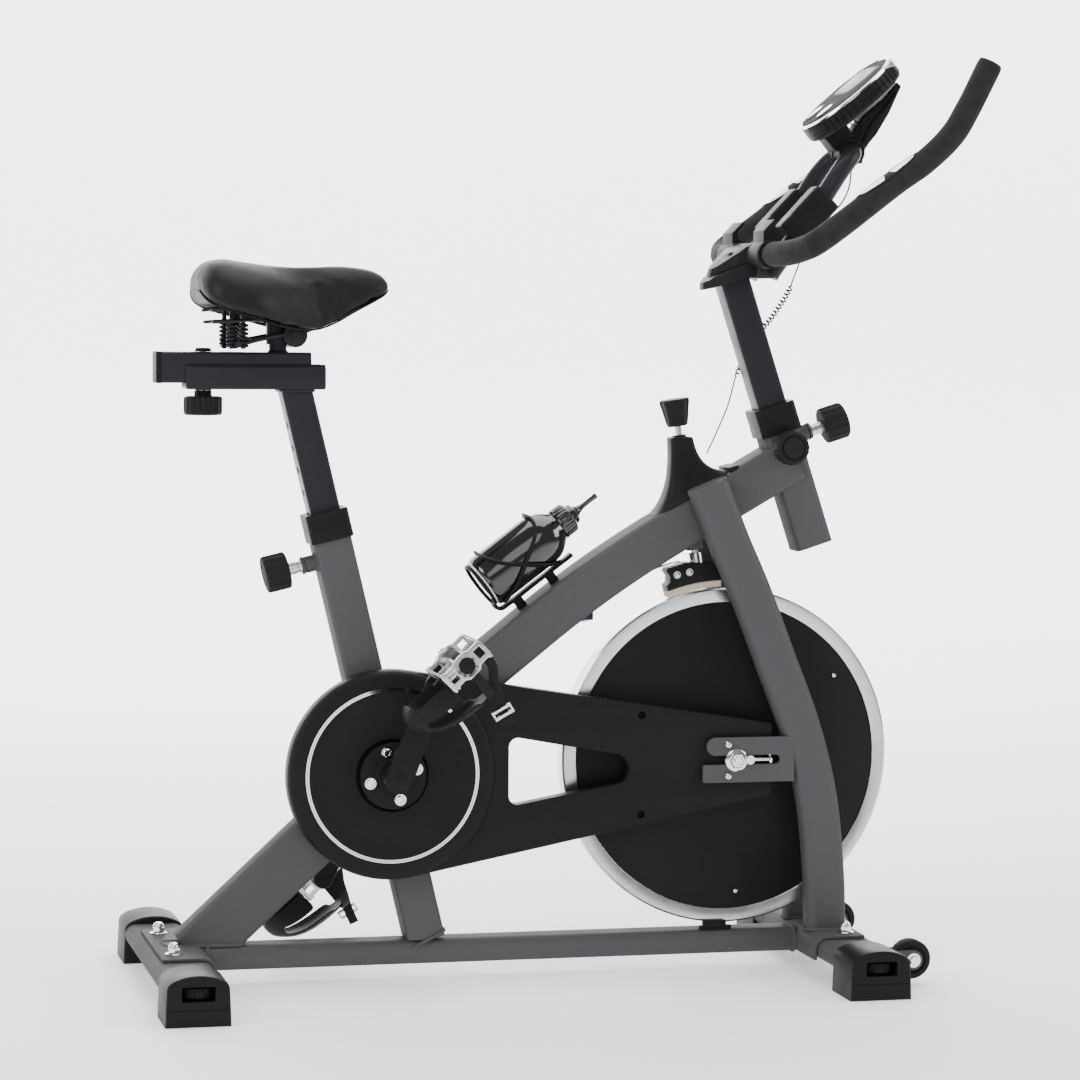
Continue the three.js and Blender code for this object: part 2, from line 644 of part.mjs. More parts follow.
function buildDrive() {
  for (const [side, sign] of [["right", -1], ["left", 1]]) {
    const disc = part(`flywheel_disc_${side}`, flywheelDisc(), "blackPlastic");
    disc.position.set(WHEEL.x, sign * (WHEEL.half - 0.9), WHEEL.z);
    const arm = new THREE.Group();
    arm.position.set(CRANK.x, 0, CRANK.z);
    arm.rotation.y = rad(CRANK.angle);
    arm.rotation.order = "YZX";
    const turn = new THREE.Group();
    turn.rotation.x = sign > 0 ? Math.PI : 0;
    arm.add(turn);
    bike.add(arm);
    part(`crank_${side}`, crankArm(), "blackCoat", turn);
    const eye = new THREE.Group();
    const angle = rad(CRANK.angle);
    const reach = -sign * CRANK.length;
    eye.position.set(CRANK.x + reach * Math.sin(angle), 0, CRANK.z + reach * Math.cos(angle));
    eye.rotation.y = rad(134.6);
    bike.add(eye);
    const cage = pedal();
    const clip = toeClip();
    if (sign > 0) {
      cage.translate(0, PEDAL_END + CRANK_FACE + 12, 0);
      clip.translate(0, PEDAL_END + CRANK_FACE + 12, 0);
    }
    part(`pedal_${side}`, cage, "alloy", eye);
    part(`toe_clip_${side}`, clip, "blackPlastic", eye);
  }
  part("flywheel", flywheel(), "steel").position.set(WHEEL.x, 0, WHEEL.z);
  part("flywheel_axle", flywheelAxle(), "chrome");
  part("belt_cover", beltCover(), "coverPlastic");
  part("drive_belt", driveBelt(), "rubber");
  part("crank_pulley", crankPulley(), "steel").position.set(CRANK.x, 0, CRANK.z);
}

// ---- Brake ----
function arcBlock(inner, outer, from, to, half) {
  const shape = new THREE.Shape();
  shape.absarc(WHEEL.x, WHEEL.z, outer, rad(90 - to), rad(90 - from));
  shape.absarc(WHEEL.x, WHEEL.z, inner, rad(90 - from), rad(90 - to), true);
  shape.closePath();
  return sidePlate(shape, -half, half, 8);
}

function brakeCover() {
  const outline = new THREE.Shape();
  outline.moveTo(684, 610);
  outline.lineTo(688, 634);
  outline.quadraticCurveTo(708, 645, 706, 676);
  outline.lineTo(703, 711);
  outline.lineTo(735, 716);
  outline.quadraticCurveTo(740, 676, 780, 676);
  outline.lineTo(790, 650);
  outline.closePath();
  const body = sidePlate(outline, -17, 17, 8);
  const foot = mainTubeSolid(3);
  const ends = block([686, -MAIN_TUBE.width / 2, 500], [778, MAIN_TUBE.width / 2, 700]);
  const below = block([600, -100, 400], [900, 100, 630]);
  const skirt = toGeometry(toSolid(foot).intersect(toSolid(ends)).subtract(toSolid(below)));
  const bore = rod(brakePoint(0), brakePoint(240), 6, 12);
  return cut(join(body, skirt), mainTubeSolid(GAP), headOuter(5), bore);
}

function brakeKnob() {
  const knob = rod(brakePoint(-16), brakePoint(16), 20, 24, 13);
  const cap = rod(brakePoint(-19), brakePoint(-15), 19, 16);
  const shaft = rod(brakePoint(10), brakePoint(222), 4.5, 10);
  return join(knob, cap, shaft);
}

function padCarrier() {
  const shoe = arcBlock(235.9, 240, -20, -2, 15);
  const bracket = block([702, -13, 526], [752, 13, 549]);
  const boss = rod(brakePoint(186), brakePoint(226), 8, 12);
  const shaft = rod(brakePoint(170), brakePoint(226), 5, 10);
  const under = arcBlock(200, 235.9, -40, 20, 30);
  return cut(join(shoe, bracket, boss), shaft, under);
}

function leafSpring() {
  const line = [[700, 540.7], [663, 530], [626, 507], [594, 484.5], [586, 479]];
  const shape = new THREE.Shape();
  line.forEach(([x, z], i) => (i ? shape.lineTo(x, z) : shape.moveTo(x, z)));
  [...line].reverse().forEach(([x, z]) => shape.lineTo(x + 1, z - 2));
  shape.closePath();
  const clip = block([582, -14, 470], [602, 14, 510]);
  return cut(join(sidePlate(shape, -12, 12), clip), mainTubeSolid(GAP));
}

function buildBrake() {
  part("brake_cover", brakeCover(), "blackPlastic");
  part("brake_knob", brakeKnob(), "blackPlastic");
  part("pad_carrier", padCarrier(), "steel");
  part("brake_pad", arcBlock(WHEEL.radius + BRAKE.gap, 235.6, -20, -2, 13), "felt");
  part("leaf_spring", leafSpring(), "blackCoat");
}

// ---- Seat ----
function squarePost(low, high) {
  return extrude(hollowRect(POST, POST, 4, WALL), high - low).translate(0, 0, low);
}

function seatPost() {
  const post = lean(squarePost(SEAT_POST.low, SEAT_POST.high), SEAT_AXIS);
  return cut(post, sideCut(RAIL.floor - GAP, 1000));
}

function collar(axis, top) {
  const body = extrude(roundedRect(57, 57, 6), 38).translate(0, 0, top - 18);
  const tube = extrude(roundedRect(50.6, 50.6, 5), 19).translate(0, 0, top - 18.5);
  const through = extrude(roundedRect(POST + 0.6, POST + 0.6, 3), 60).translate(0, 0, top - 20);
  return lean(cut(body, tube, through), axis);
}

function saddleRail() {
  const { back, front, floor, top, width } = RAIL;
  const body = block([back, -width / 2, floor], [front, width / 2, top]);
  const channel = block([back - 1, -width / 2 + WALL, floor + 4], [front + 1, width / 2 - WALL, top + 1]);
  const bolt = rod([SLIDER_BOLT_X, 0, floor - 5], [SLIDER_BOLT_X, 0, floor + 10], 5.5, 12);
  return cut(body, channel, bolt);
}

function railLiner() {
  const { back, front, floor, top, width } = RAIL;
  const half = width / 2 - WALL - GAP;
  const body = block([back, -half, floor + 4 + GAP], [front, half, top + 2]);
  const channel = block([back - 1, -20.3, SLIDER.low - GAP], [front + 1, 20.3, top + 5]);
  const bolt = rod([SLIDER_BOLT_X, 0, floor], [SLIDER_BOLT_X, 0, floor + 20], 5.5, 12);
  return cut(body, channel, bolt);
}

function slider() {
  const { back, front, low, size } = SLIDER;
  const tube = extrude(hollowRect(size, size, 4, WALL), front - back)
    .rotateZ(Math.PI / 2)
    .rotateY(Math.PI / 2)
    .translate(back, 0, low + size / 2);
  const slot = block([54, -5.5, low - 5], [138, 5.5, low + size + 5]);
  const post = rod([SADDLE_POST_X, 0, low + size - 1], [SADDLE_POST_X, 0, SADDLE_PIVOT.z - 6], 11.5, 14);
  const endPlug = block([back, -19, low + 1], [back + 6, 19, low + size - 1]);
  return join(cut(tube, slot), post, endPlug);
}

// Knob with rounded flutes standing on the origin along +Z.
function flutedKnob(radius, height) {
  const lobes = 12;
  return ribbedDisc(radius - 1.3, 1.3, lobes, height, 4);
}

function sliderKnob() {
  const knob = flutedKnob(25, 24).translate(SLIDER_BOLT_X, 0, 745);
  const stem = rod([SLIDER_BOLT_X, 0, 768], [SLIDER_BOLT_X, 0, RAIL.floor - GAP], 10, 12);
  const bolt = rod([SLIDER_BOLT_X, 0, 768], [SLIDER_BOLT_X, 0, 830], 4.7, 12);
  const head = rod([SLIDER_BOLT_X, 0, 826.3], [SLIDER_BOLT_X, 0, 833], 9.5, 14);
  return join(knob, stem, bolt, head);
}

// Saddle clamp, the two rails it grips and the rear spring cluster.
function saddleFrame() {
  const { x, z } = SADDLE_PIVOT;
  const clamp = rod([x, -30, z], [x, 30, z], 15, 14);
  const socket = rod([x - 19, 0, z - 5.7], [x - 19, 0, z + 12], 15, 14);
  let frame = join(clamp, socket);
  for (const side of [-1, 1]) {
    const y = side * 22;
    const rail = [[112, y * 1.6, 852], [150, y * 1.3, 850], [x, y, z], [232, y, 864], [268, y * 0.8, 884]];
    frame = join(frame, sweep(rail, circle(3.5), 7, 3));
    frame = join(frame, rod([118, y * 1.6, 838], [118, y * 1.6, 882], 11, 10));
  }
  const cross = rod([118, -40, 852], [118, 40, 852], 6, 12);
  const room = rod([SADDLE_POST_X, 0, 815], [SADDLE_POST_X, 0, z - 5.7], 12, 14);
  return cut(join(frame, cross), room);
}

// [x, half width, top, skirt] along the saddle from tail to nose.
const SADDLE_STATIONS = [
  [66, 52, 912, 901], [71, 71, 927, 892], [82, 88, 940, 884], [100, 97, 945, 877], [125, 97, 942, 870],
  [150, 89, 939, 863], [175, 73, 937, 856], [200, 55, 936, 853], [225, 43, 937, 853], [250, 36, 938, 862],
  [275, 32, 938, 876], [300, 28, 935, 889], [318, 22, 927, 897], [327, 12, 915, 903],
];

function saddle() {
  const rings = SADDLE_STATIONS.map(([x, half, top, skirt]) => {
    const ring = [];
    const crown = 8;
    for (let i = 0; i <= crown; i++) {
      const angle = (Math.PI * i) / crown;
      const wide = Math.sign(Math.cos(angle)) * Math.abs(Math.cos(angle)) ** 0.75;
      ring.push([x, half * wide, skirt + (top - skirt) * Math.sin(angle) ** 0.8]);
    }
    const under = Math.min(Math.max(skirt + 4, 893), top - 6);
    ring.push([x, -half * 0.86, skirt + 1], [x, -half * 0.68, under], [x, half * 0.68, under]);
    ring.push([x, half * 0.86, skirt + 1]);
    return ring;
  });
  return loft(rings);
}

// Spring pin: a fluted knob and chrome stem that pull straight out of a tube's face.
function pinKnob() {
  const knob = flutedKnob(24.5, 32).translate(0, 0, 22);
  const stem = rod([0, 0, -18], [0, 0, 23], 4.8, 12);
  const neck = rod([0, 0, GAP], [0, 0, 22.5], 8.5, 16, 8);
  return join(knob, stem, neck);
}

function buildSeat() {
  part("seat_post", seatPost(), "blackCoat");
  part("seat_collar", collar(SEAT_AXIS, SEAT_TUBE.high), "blackPlastic");
  part("saddle_rail", saddleRail(), "blackCoat");
  part("rail_liner", railLiner(), "blackPlastic");
  part("slider", slider(), "blackCoat");
  part("slider_knob", sliderKnob(), "blackPlastic");
  part("saddle_frame", saddleFrame(), "blackCoat");
  part("saddle", saddle(), "vinyl");
  const pin = pinKnob().rotateY(-Math.PI / 2).translate(-PIN_OUT, 0, SEAT_PIN_Z);
  part("seat_pin_knob", lean(pin, SEAT_AXIS), "rubber");
}

// ---- Handlebar ----
const BAR_LINE = [
  [839, 971], [879, 999], [947, 1051], [986, 1078], [1022, 1113], [1041, 1144], [1072, 1205],
];

const BAR_STEPS = 30;
const BAR_SIDES = 8;

function barLine() {
  const arm = BAR_LINE.map(([x, z]) => [x, ARM_Y, z]);
  const bend = [[812, 0, 958], [812, 80, 958], [815, 118, 958], [820, 150, 959], [828, 180, 963]];
  const half = [...bend, ...arm];
  const other = half.slice(1).reverse().map(([x, y, z]) => [x, -y, z]);
  return [...other, ...half];
}

const HAIRPIN_LINE = [[826, 931], [859, 978], [897, 1031], [922, 1069]];

function hairpinLine() {
  const leg = HAIRPIN_LINE.map(([x, z]) => [x, HAIRPIN_Y, z]);
  const bend = [[940, 38, 1090], [948, 18, 1097]];
  const half = [...leg, ...bend];
  return [...half, ...half.map(([x, y, z]) => [x, -y, z]).reverse()];
}

function handlebar() {
  const outer = sweep(barLine(), circle(BAR_RADIUS), BAR_STEPS, BAR_SIDES / 2);
  const hairpin = sweep(hairpinLine(), circle(BAR_RADIUS), 18, BAR_SIDES / 2);
  const gusset = block([778, -19, 928], [818, 19, 962]);
  const shelf = block([806, -58, 926], [836, 58, 948]);
  const postRoom = lean(extrude(roundedRect(41, 41, 4), 100).translate(0, 0, HEAD.postHigh - 99.7), HEAD);
  return cut(join(outer, hairpin, gusset, shelf), postRoom);
}

// Foam sleeve on one arm: the same sweep as the bar, thicker and bored to fit over it.
function grip(side) {
  const sleeve = sweep(barLine(), circle(GRIP_RADIUS), BAR_STEPS, BAR_SIDES / 2);
  const bore = sweep(barLine(), circle(BAR_RADIUS + 0.5), BAR_STEPS, BAR_SIDES / 2);
  const from = side < 0 ? -GRIP_START : -300;
  const to = side < 0 ? 300 : GRIP_START;
  return cut(sleeve, bore, block([700, from, 800], [1200, to, 1400]));
}

// Hook that a tablet or phone rests on, standing on the clamp's sleeve.
function deviceHook(side) {
  const outline = [[803, 962], [803, 989], [818, 1004], [822, 1000], [812, 989], [812, 962]];
  const [near, far] = side < 0 ? [-95, -48] : [48, 95];
  return sidePlate(polygon(outline), near, far);
}

// Moulded cover over the post's top: a blunt nose to the rear and a sleeve round the bar each side.
function clampCover() {
  const side = [[747, 921], [747, 911], [806, 931], [806, 972], [794, 968], [757, 939], [757, 930]];
  const plan = [[747, -9], [775, -43], [806, -50], [806, 50], [775, 43], [747, 9]];
  const flat = extrude(polygon(plan), 200).translate(0, 0, 850);
  const body = toGeometry(toSolid(sidePlate(polygon(side), -52, 52)).intersect(toSolid(flat)));
  const sleeve = rod([812, -100, 958], [812, 100, 958], 18.5, 16);
  const post = lean(extrude(roundedRect(41, 41, 4), 400), HEAD);
  const bar = sweep(barLine(), circle(BAR_RADIUS + 0.6), BAR_STEPS, BAR_SIDES / 2);
  const hairpin = (y) => rod([811, y, 911], [897, y, 1034], BAR_RADIUS + 0.8, 14);
  const shelf = block([805.5, -58.5, 925.5], [836.5, 58.5, 948.5]);
  const gusset = block([777.5, -19.5, 927.5], [818.5, 19.5, 962.5]);
  const whole = join(body, sleeve, deviceHook(-1), deviceHook(1));
  return cut(whole, post, bar, hairpin(HAIRPIN_Y), hairpin(-HAIRPIN_Y), shelf, gusset);
}

function armSleeve() {
  const body = extrude(roundedRect(42, 32, 5), 74).rotateY(rad(43)).translate(852, 0, 982);
  const tube = rod([826, 0, 931], [905, 0, 1043], BAR_RADIUS + 0.8, 14);
  const low = rod([812, -60, 958], [812, 60, 958], 19.6, 16);
  return cut(body, tube, low);
}

// The console is built flat, face up, long axis along X, then tilted.
function placeConsole(geometry) {
  return geometry.rotateY(-rad(CONSOLE.tilt)).translate(CONSOLE.x, 0, CONSOLE.z);
}

function consoleBody() {
  const { long, wide, deep } = CONSOLE;
  const levels = [[0.86, -deep / 2], [1, 4 - deep / 2], [1, deep / 2 - 4], [0.93, deep / 2]];
  const rings = levels.map(([scale, z]) => {
    const ring = [];
    const count = 28;
    for (let i = 0; i < count; i++) {
      const angle = (2 * Math.PI * i) / count;
      ring.push([(scale * long * Math.cos(angle)) / 2, (scale * wide * Math.sin(angle)) / 2, z]);
    }
    return ring;
  });
  return placeConsole(loft(rings));
}

// Strap behind the console, down to a clamp on the top of the hairpin bar.
const STRAP_LINE = [
  [1020, 1190], [1013, 1194], [995, 1166], [963, 1143], [946, 1119], [950, 1103], [964, 1099], [985, 1122],
  [1003, 1152],
];

function consoleBracket() {
  const foot = block([918, -14, 1104], [950, 14, 1132]);
  const strap = sidePlate(polygon(STRAP_LINE), -16, 16);
  const saddleClamp = rod([948, -16, 1097], [948, 16, 1097], 18, 14);
  const lug = block([950, -14, 1083], [972, 14, 1106]);
  const inside = CONSOLE.deep / 2 - 3;
  const clear = placeConsole(block([-100, -100, -inside], [100, 100, 100]));
  const tube = sweep(hairpinLine(), circle(BAR_RADIUS + 0.8), 18, BAR_SIDES / 2);
  return cut(join(foot, strap, saddleClamp, lug), clear, tube);
}

function sideKnob() {
  const knob = flutedKnob(23, 22).rotateX(Math.PI / 2).translate(HEAD.x, -37, HEAD.z);
  const stem = rod([HEAD.x, -24, HEAD.z], [HEAD.x, -38, HEAD.z], 4.8, 12);
  return join(knob, stem);
}

// Route of the console lead: out of the left arm sleeve, curled past the post and down to the brake cover.
const LEAD_TOP = [[891, 44, 988], [893, 33, 974], [887, 15, 950], [874, 3, 925]];
const LEAD_CURL = [
  [872, 1, 920], [862, 9, 897], [850, 18, 876], [838, 26, 858], [820, 31, 826], [803, 27, 795],
];
const LEAD_LOW = [[802, 26, 793], [790, 18, 757], [772, 8, 722], [757, 2, 694]];

function buildHandlebar() {
  part("handlebar_post", lean(squarePost(HEAD.postLow, HEAD.postHigh), HEAD), "blackCoat");
  part("head_collar", collar(HEAD, HEAD.high), "blackPlastic");
  part("handlebar", handlebar(), "blackCoat");
  part("grip_right", grip(-1), "foam");
  part("grip_left", grip(1), "foam");
  part("clamp_cover", clampCover(), "blackPlastic");
  part("arm_sleeve_right", armSleeve(), "blackPlastic").position.y = -HAIRPIN_Y;
  part("arm_sleeve_left", armSleeve(), "blackPlastic").position.y = HAIRPIN_Y;
  part("console", join(consoleBody(), consoleBracket()), "blackPlastic");
  const pin = pinKnob().rotateY(Math.PI / 2).translate(PIN_OUT, 0, BAR_PIN_Z);
  part("bar_pin_knob", lean(pin, HEAD), "rubber");
  part("side_knob", sideKnob(), "rubber");
  part("lead_top", sweep(LEAD_TOP, circle(LEAD_RADIUS), 12, 2), "rubber");
  part("lead_curl", sweep(LEAD_CURL, circle(CURL_RADIUS), 12, 3), "rubber");
  part("lead_low", sweep(LEAD_LOW, circle(LEAD_RADIUS), 12, 2), "rubber");
}

// ---- Bottle ----
function placeBottle(geometry) {
  return geometry.rotateY(rad(90 - BOTTLE.angle)).translate(BOTTLE.x, 0, BOTTLE.z);
}

function bottle() {
  const r = BOTTLE.radius;
  const top = BOTTLE.body;
  const profile = [
    [0.01, 0], [r - 2, 0], [r, 3], [r, top], [r - 4, top + 10], [r - 16, top + 16], [r - 16, top + 20],
    [r - 15, top + 21], [r - 15, top + 40], [r - 20, top + 44], [8, top + 48], [5, top + 58], [7, top + 62],
    [7, top + 72], [0.01, top + 74],
  ];
  const turnedUp = turned(profile, 20).rotateX(Math.PI / 2);
  return placeBottle(turnedUp);
}

// Cage: a spine on the main tube, two hoops that hold the bottle and a cup under its base.
function bottleCage() {
  const r = BOTTLE.radius + 4;
  const hoop = (z) => turned([[r - 3, z - 3], [r + 1.5, z - 3], [r + 1.5, z + 3], [r - 3, z + 3]], 20);
  const base = cut(rod([0, -6, 0], [0, -1, 0], 24, 14), rod([0, -9, 0], [0, 1, 0], 17, 14));
  const arm = block([r - 3, -6, -5], [r + 2, 92, 5]);
  const tongue = block([20, -6, -5], [r + 2, -1, 5]);
  const body = join(hoop(28), hoop(88), base, arm, tongue).rotateX(Math.PI / 2);
  const feet = join(placeBottle(body), placeBottle(block([r + 1, -8, 10], [r + 16, 8, 84])));
  return cut(feet, mainTubeSolid(GAP));
}

function buildBottle() {
  part("bottle", bottle(), "gloss");
  part("bottle_cage", bottleCage(), "blackCoat");
}

buildFrame();
buildDrive();
buildBrake();
buildSeat();
buildHandlebar();
buildBottle();

export default bike;
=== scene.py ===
"""Looks of the indoor spin bike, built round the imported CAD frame.

Sizes are millimetres in the bike's own layout: X from the rear stabiliser's rear face, Y to the rider's
left, Z up from the floor. place() turns such a point into metres in the row frame.
"""

import math
import random

import bmesh
import bpy
from mathutils import Matrix, Vector


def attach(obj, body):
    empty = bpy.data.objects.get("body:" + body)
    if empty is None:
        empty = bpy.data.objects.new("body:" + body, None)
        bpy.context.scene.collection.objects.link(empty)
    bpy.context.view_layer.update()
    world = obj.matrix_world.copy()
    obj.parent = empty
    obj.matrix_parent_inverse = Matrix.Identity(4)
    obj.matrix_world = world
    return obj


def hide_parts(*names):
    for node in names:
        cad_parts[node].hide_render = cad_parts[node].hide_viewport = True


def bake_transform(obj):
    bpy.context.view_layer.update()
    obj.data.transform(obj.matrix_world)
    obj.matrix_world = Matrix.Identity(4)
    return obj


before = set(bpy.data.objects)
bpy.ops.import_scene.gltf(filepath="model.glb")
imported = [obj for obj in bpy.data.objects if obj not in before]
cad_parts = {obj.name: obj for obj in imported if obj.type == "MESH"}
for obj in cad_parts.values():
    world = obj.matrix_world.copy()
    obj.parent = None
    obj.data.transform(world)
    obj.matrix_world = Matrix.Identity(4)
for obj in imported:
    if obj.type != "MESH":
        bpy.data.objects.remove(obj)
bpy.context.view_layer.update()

HALF_LENGTH = 543.35
FRAME, HANDLEBAR, SEAT, SADDLE = "frame", "handlebar", "seat_post", "saddle"
CRANK = (321, 279)
CRANK_LENGTH, CRANK_ANGLE = 170, math.radians(22)
WHEEL = (783, 290)
SEAT_AXIS = (321, 279, 13.6)
HEAD_AXIS = (860.2, 703, 18.0)
CAMERA_PLACE = (-544.7, -4495.3, 875.6)
CAMERA_TURN, CAMERA_DOWN, CAMERA_ROLL = 13.43, 3.66, 0.45
LENS = 116.87
SCENE = bpy.context.scene
random.seed(7)


# ---------------------------------------------------------------- places
def place(x, y, z):
    """A point of the layout, in metres in the row frame."""
    return Vector(((x - HALF_LENGTH) / 1000, y / 1000, z / 1000))


def on_axis(axis, across, side, along):
    """A point given across, to the side of and along a leaning tube's axis."""
    x, z, tilt = axis
    c, s = math.cos(math.radians(tilt)), math.sin(math.radians(tilt))
    return (x + across * c - along * s, side, z + across * s + along * c)


# ---------------------------------------------------------------- materials
def node(tree, kind, **values):
    """A shader node with its settings."""
    made = tree.nodes.new(kind)
    for key, value in values.items():
        setattr(made, key, value)
    return made


def base_material(name, color, roughness, metallic=0.0, coat=0.0, specular=0.5):
    """A plain Principled material, which the helpers below add detail to."""
    material = bpy.data.materials.new(name)
    material.use_nodes = True
    shader = material.node_tree.nodes["Principled BSDF"]
    shader.inputs["Base Color"].default_value = (*color, 1)
    shader.inputs["Roughness"].default_value = roughness
    shader.inputs["Metallic"].default_value = metallic
    shader.inputs["Coat Weight"].default_value = coat
    shader.inputs["Coat Roughness"].default_value = 0.12
    shader.inputs["Specular IOR Level"].default_value = specular
    return material


def noise(material, scale, detail=2.0, stretch=(1, 1, 1)):
    """Noise texture in the object's own space."""
    tree = material.node_tree
    where = node(tree, "ShaderNodeTexCoord")
    mapping = node(tree, "ShaderNodeMapping")
    mapping.inputs["Scale"].default_value = stretch
    made = node(tree, "ShaderNodeTexNoise")
    made.inputs["Scale"].default_value = scale
    made.inputs["Detail"].default_value = detail
    tree.links.new(where.outputs["Object"], mapping.inputs["Vector"])
    tree.links.new(mapping.outputs["Vector"], made.inputs["Vector"])
    return made.outputs["Fac"]


def cells(material, scale):
    """Rounded cells, as in moulded grain."""
    tree = material.node_tree
    where = node(tree, "ShaderNodeTexCoord")
    made = node(tree, "ShaderNodeTexVoronoi", feature="SMOOTH_F1")
    made.inputs["Scale"].default_value = scale
    tree.links.new(where.outputs["Object"], made.inputs["Vector"])
    return made.outputs["Distance"]


def spread(material, source, low, high):
    """A texture's values as a range of greys or numbers."""
    tree = material.node_tree
    made = node(tree, "ShaderNodeMapRange")
    made.inputs["From Min"].default_value = 0.3
    made.inputs["From Max"].default_value = 0.7
    made.inputs["To Min"].default_value = low
    made.inputs["To Max"].default_value = high
    tree.links.new(source, made.inputs["Value"])
    return made.outputs["Result"]


def tint(material, source, first, second):
    """Colour that wanders between two tones."""
    tree = material.node_tree
    ramp = node(tree, "ShaderNodeValToRGB")
    ramp.color_ramp.elements[0].position = 0.3
    ramp.color_ramp.elements[1].position = 0.7
    ramp.color_ramp.elements[0].color = (*first, 1)
    ramp.color_ramp.elements[1].color = (*second, 1)
    tree.links.new(source, ramp.inputs["Fac"])
    shader = tree.nodes["Principled BSDF"]
    tree.links.new(ramp.outputs["Color"], shader.inputs["Base Color"])


def rough(material, source, low, high):
    """Roughness that wanders between two values."""
    shader = material.node_tree.nodes["Principled BSDF"]
    material.node_tree.links.new(spread(material, source, low, high), shader.inputs["Roughness"])


def bump(material, source, strength, depth):
    """Fine relief from a texture; depth is in metres."""
    tree = material.node_tree
    made = node(tree, "ShaderNodeBump")
    made.inputs["Strength"].default_value = strength
    made.inputs["Distance"].default_value = depth
    shader = tree.nodes["Principled BSDF"]
    earlier = shader.inputs["Normal"].links
    if earlier:
        tree.links.new(earlier[0].from_socket, made.inputs["Normal"])
    tree.links.new(source, made.inputs["Height"])
    tree.links.new(made.outputs["Normal"], shader.inputs["Normal"])


def tame_edges(material):
    """Keeps a paint's metal flakes from going white where a face is seen edge on."""
    shader = material.node_tree.nodes["Principled BSDF"]
    shader.inputs["Specular Tint"].default_value = (0.2, 0.2, 0.21, 1)


def frame_paint():
    """Satin gunmetal paint with a slight orange peel."""
    made = base_material("frame_paint", (0.08, 0.081, 0.085), 0.42, 0.16, specular=0.008)
    tame_edges(made)
    tint(made, noise(made, 2600, 1), (0.063, 0.064, 0.0675), (0.094, 0.0955, 0.1))
    rough(made, noise(made, 14), 0.38, 0.46)
    bump(made, noise(made, 220, 2), 0.1, 0.0004)
    return made


def black_coat():
    """Textured black powder coat."""
    made = base_material("black_coat", (0.018, 0.0185, 0.022), 0.36, specular=0.13)
    rough(made, noise(made, 30), 0.3, 0.42)
    bump(made, noise(made, 1100, 2), 0.3, 0.0003)
    return made


def grained(name, color, roughness, grain, strength=0.25):
    """Moulded plastic or rubber with a fine grain."""
    made = base_material(name, color, roughness, specular=0.1)
    rough(made, noise(made, 22), roughness - 0.05, roughness + 0.06)
    bump(made, cells(made, grain), strength, 0.0003)
    return made


def foam():
    """Black closed-cell foam."""
    made = base_material("foam", (0.016, 0.016, 0.0165), 0.88, specular=0.25)
    tint(made, noise(made, 60, 3), (0.010, 0.010, 0.011), (0.018, 0.018, 0.019))
    bump(made, noise(made, 900, 4), 0.5, 0.0006)
    return made


def saddle_vinyl():
    """Soft black vinyl with a pebbled grain."""
    made = base_material("saddle_vinyl", (0.010, 0.0105, 0.0105), 0.44, specular=0.14)
    rough(made, noise(made, 26, 3), 0.42, 0.54)
    bump(made, cells(made, 620), 0.35, 0.0004)
    bump(made, noise(made, 240, 3), 0.12, 0.0004)
    return made


def bright(name, color, low, high, scale, depth):
    """Bare or plated metal with faint unevenness."""
    made = base_material(name, color, low, 1.0)
    rough(made, noise(made, 40, 3), low, high)
    bump(made, noise(made, scale, 3), 0.12, depth)
    return made


def turned_steel():
    """Fine rings about the flywheel's axle, as a lathe leaves them."""
    made = base_material("steel", (0.58, 0.59, 0.61), 0.24, 1.0)
    tree = made.node_tree
    where = node(tree, "ShaderNodeTexCoord")
    mapping = node(tree, "ShaderNodeMapping")
    centre = place(WHEEL[0], 0, WHEEL[1])
    mapping.inputs["Location"].default_value = (-centre.x, 0, -centre.z)
    rings = node(tree, "ShaderNodeTexWave", wave_type="RINGS", rings_direction="Y")
    rings.inputs["Scale"].default_value = 420
    rings.inputs["Distortion"].default_value = 3
    tree.links.new(where.outputs["Object"], mapping.inputs["Vector"])
    tree.links.new(mapping.outputs["Vector"], rings.inputs["Vector"])
    bump(made, rings.outputs["Fac"], 0.1, 0.0001)
    rough(made, noise(made, 25, 3), 0.18, 0.3)
    return made


def felt():
    """Pale brake felt with short fibres."""
    made = base_material("felt", (0.62, 0.54, 0.41), 0.95, specular=0.2)
    tint(made, noise(made, 500, 4), (0.5, 0.43, 0.32), (0.7, 0.62, 0.48))
    bump(made, noise(made, 1400, 5, (1, 1, 3)), 0.8, 0.0008)
    return made


def bottle_gloss():
    """The bottle's glossy black plastic."""
    made = base_material("bottle_gloss", (0.006, 0.006, 0.007), 0.07, 0.0, coat=0.6)
    rough(made, noise(made, 20, 2), 0.05, 0.1)
    return made


MATERIALS = {
    "frame_paint": frame_paint(),
    "black_coat": black_coat(),
    "cover_plastic": grained("cover_plastic", (0.010, 0.0105, 0.011), 0.5, 1500, 0.3),
    "black_plastic": grained("black_plastic", (0.010, 0.010, 0.011), 0.46, 1900, 0.2),
    "rubber": grained("rubber", (0.014, 0.014, 0.014), 0.68, 1300, 0.3),
    "foam": foam(),
    "saddle_vinyl": saddle_vinyl(),
    "alloy": bright("alloy", (0.6, 0.61, 0.63), 0.2, 0.36, 500, 0.0003),
    "steel": turned_steel(),
    "chrome": bright("chrome", (0.78, 0.79, 0.8), 0.05, 0.12, 90, 0.0001),
    "bottle_gloss": bottle_gloss(),
    "felt": felt(),
}


# ---------------------------------------------------------------- mesh tools
def smooth(obj, angle=38):
    """Smooth shading that keeps edges over the angle sharp."""
    for face in obj.data.polygons:
        face.use_smooth = True
    obj.data.set_sharp_from_angle(angle=math.radians(angle))


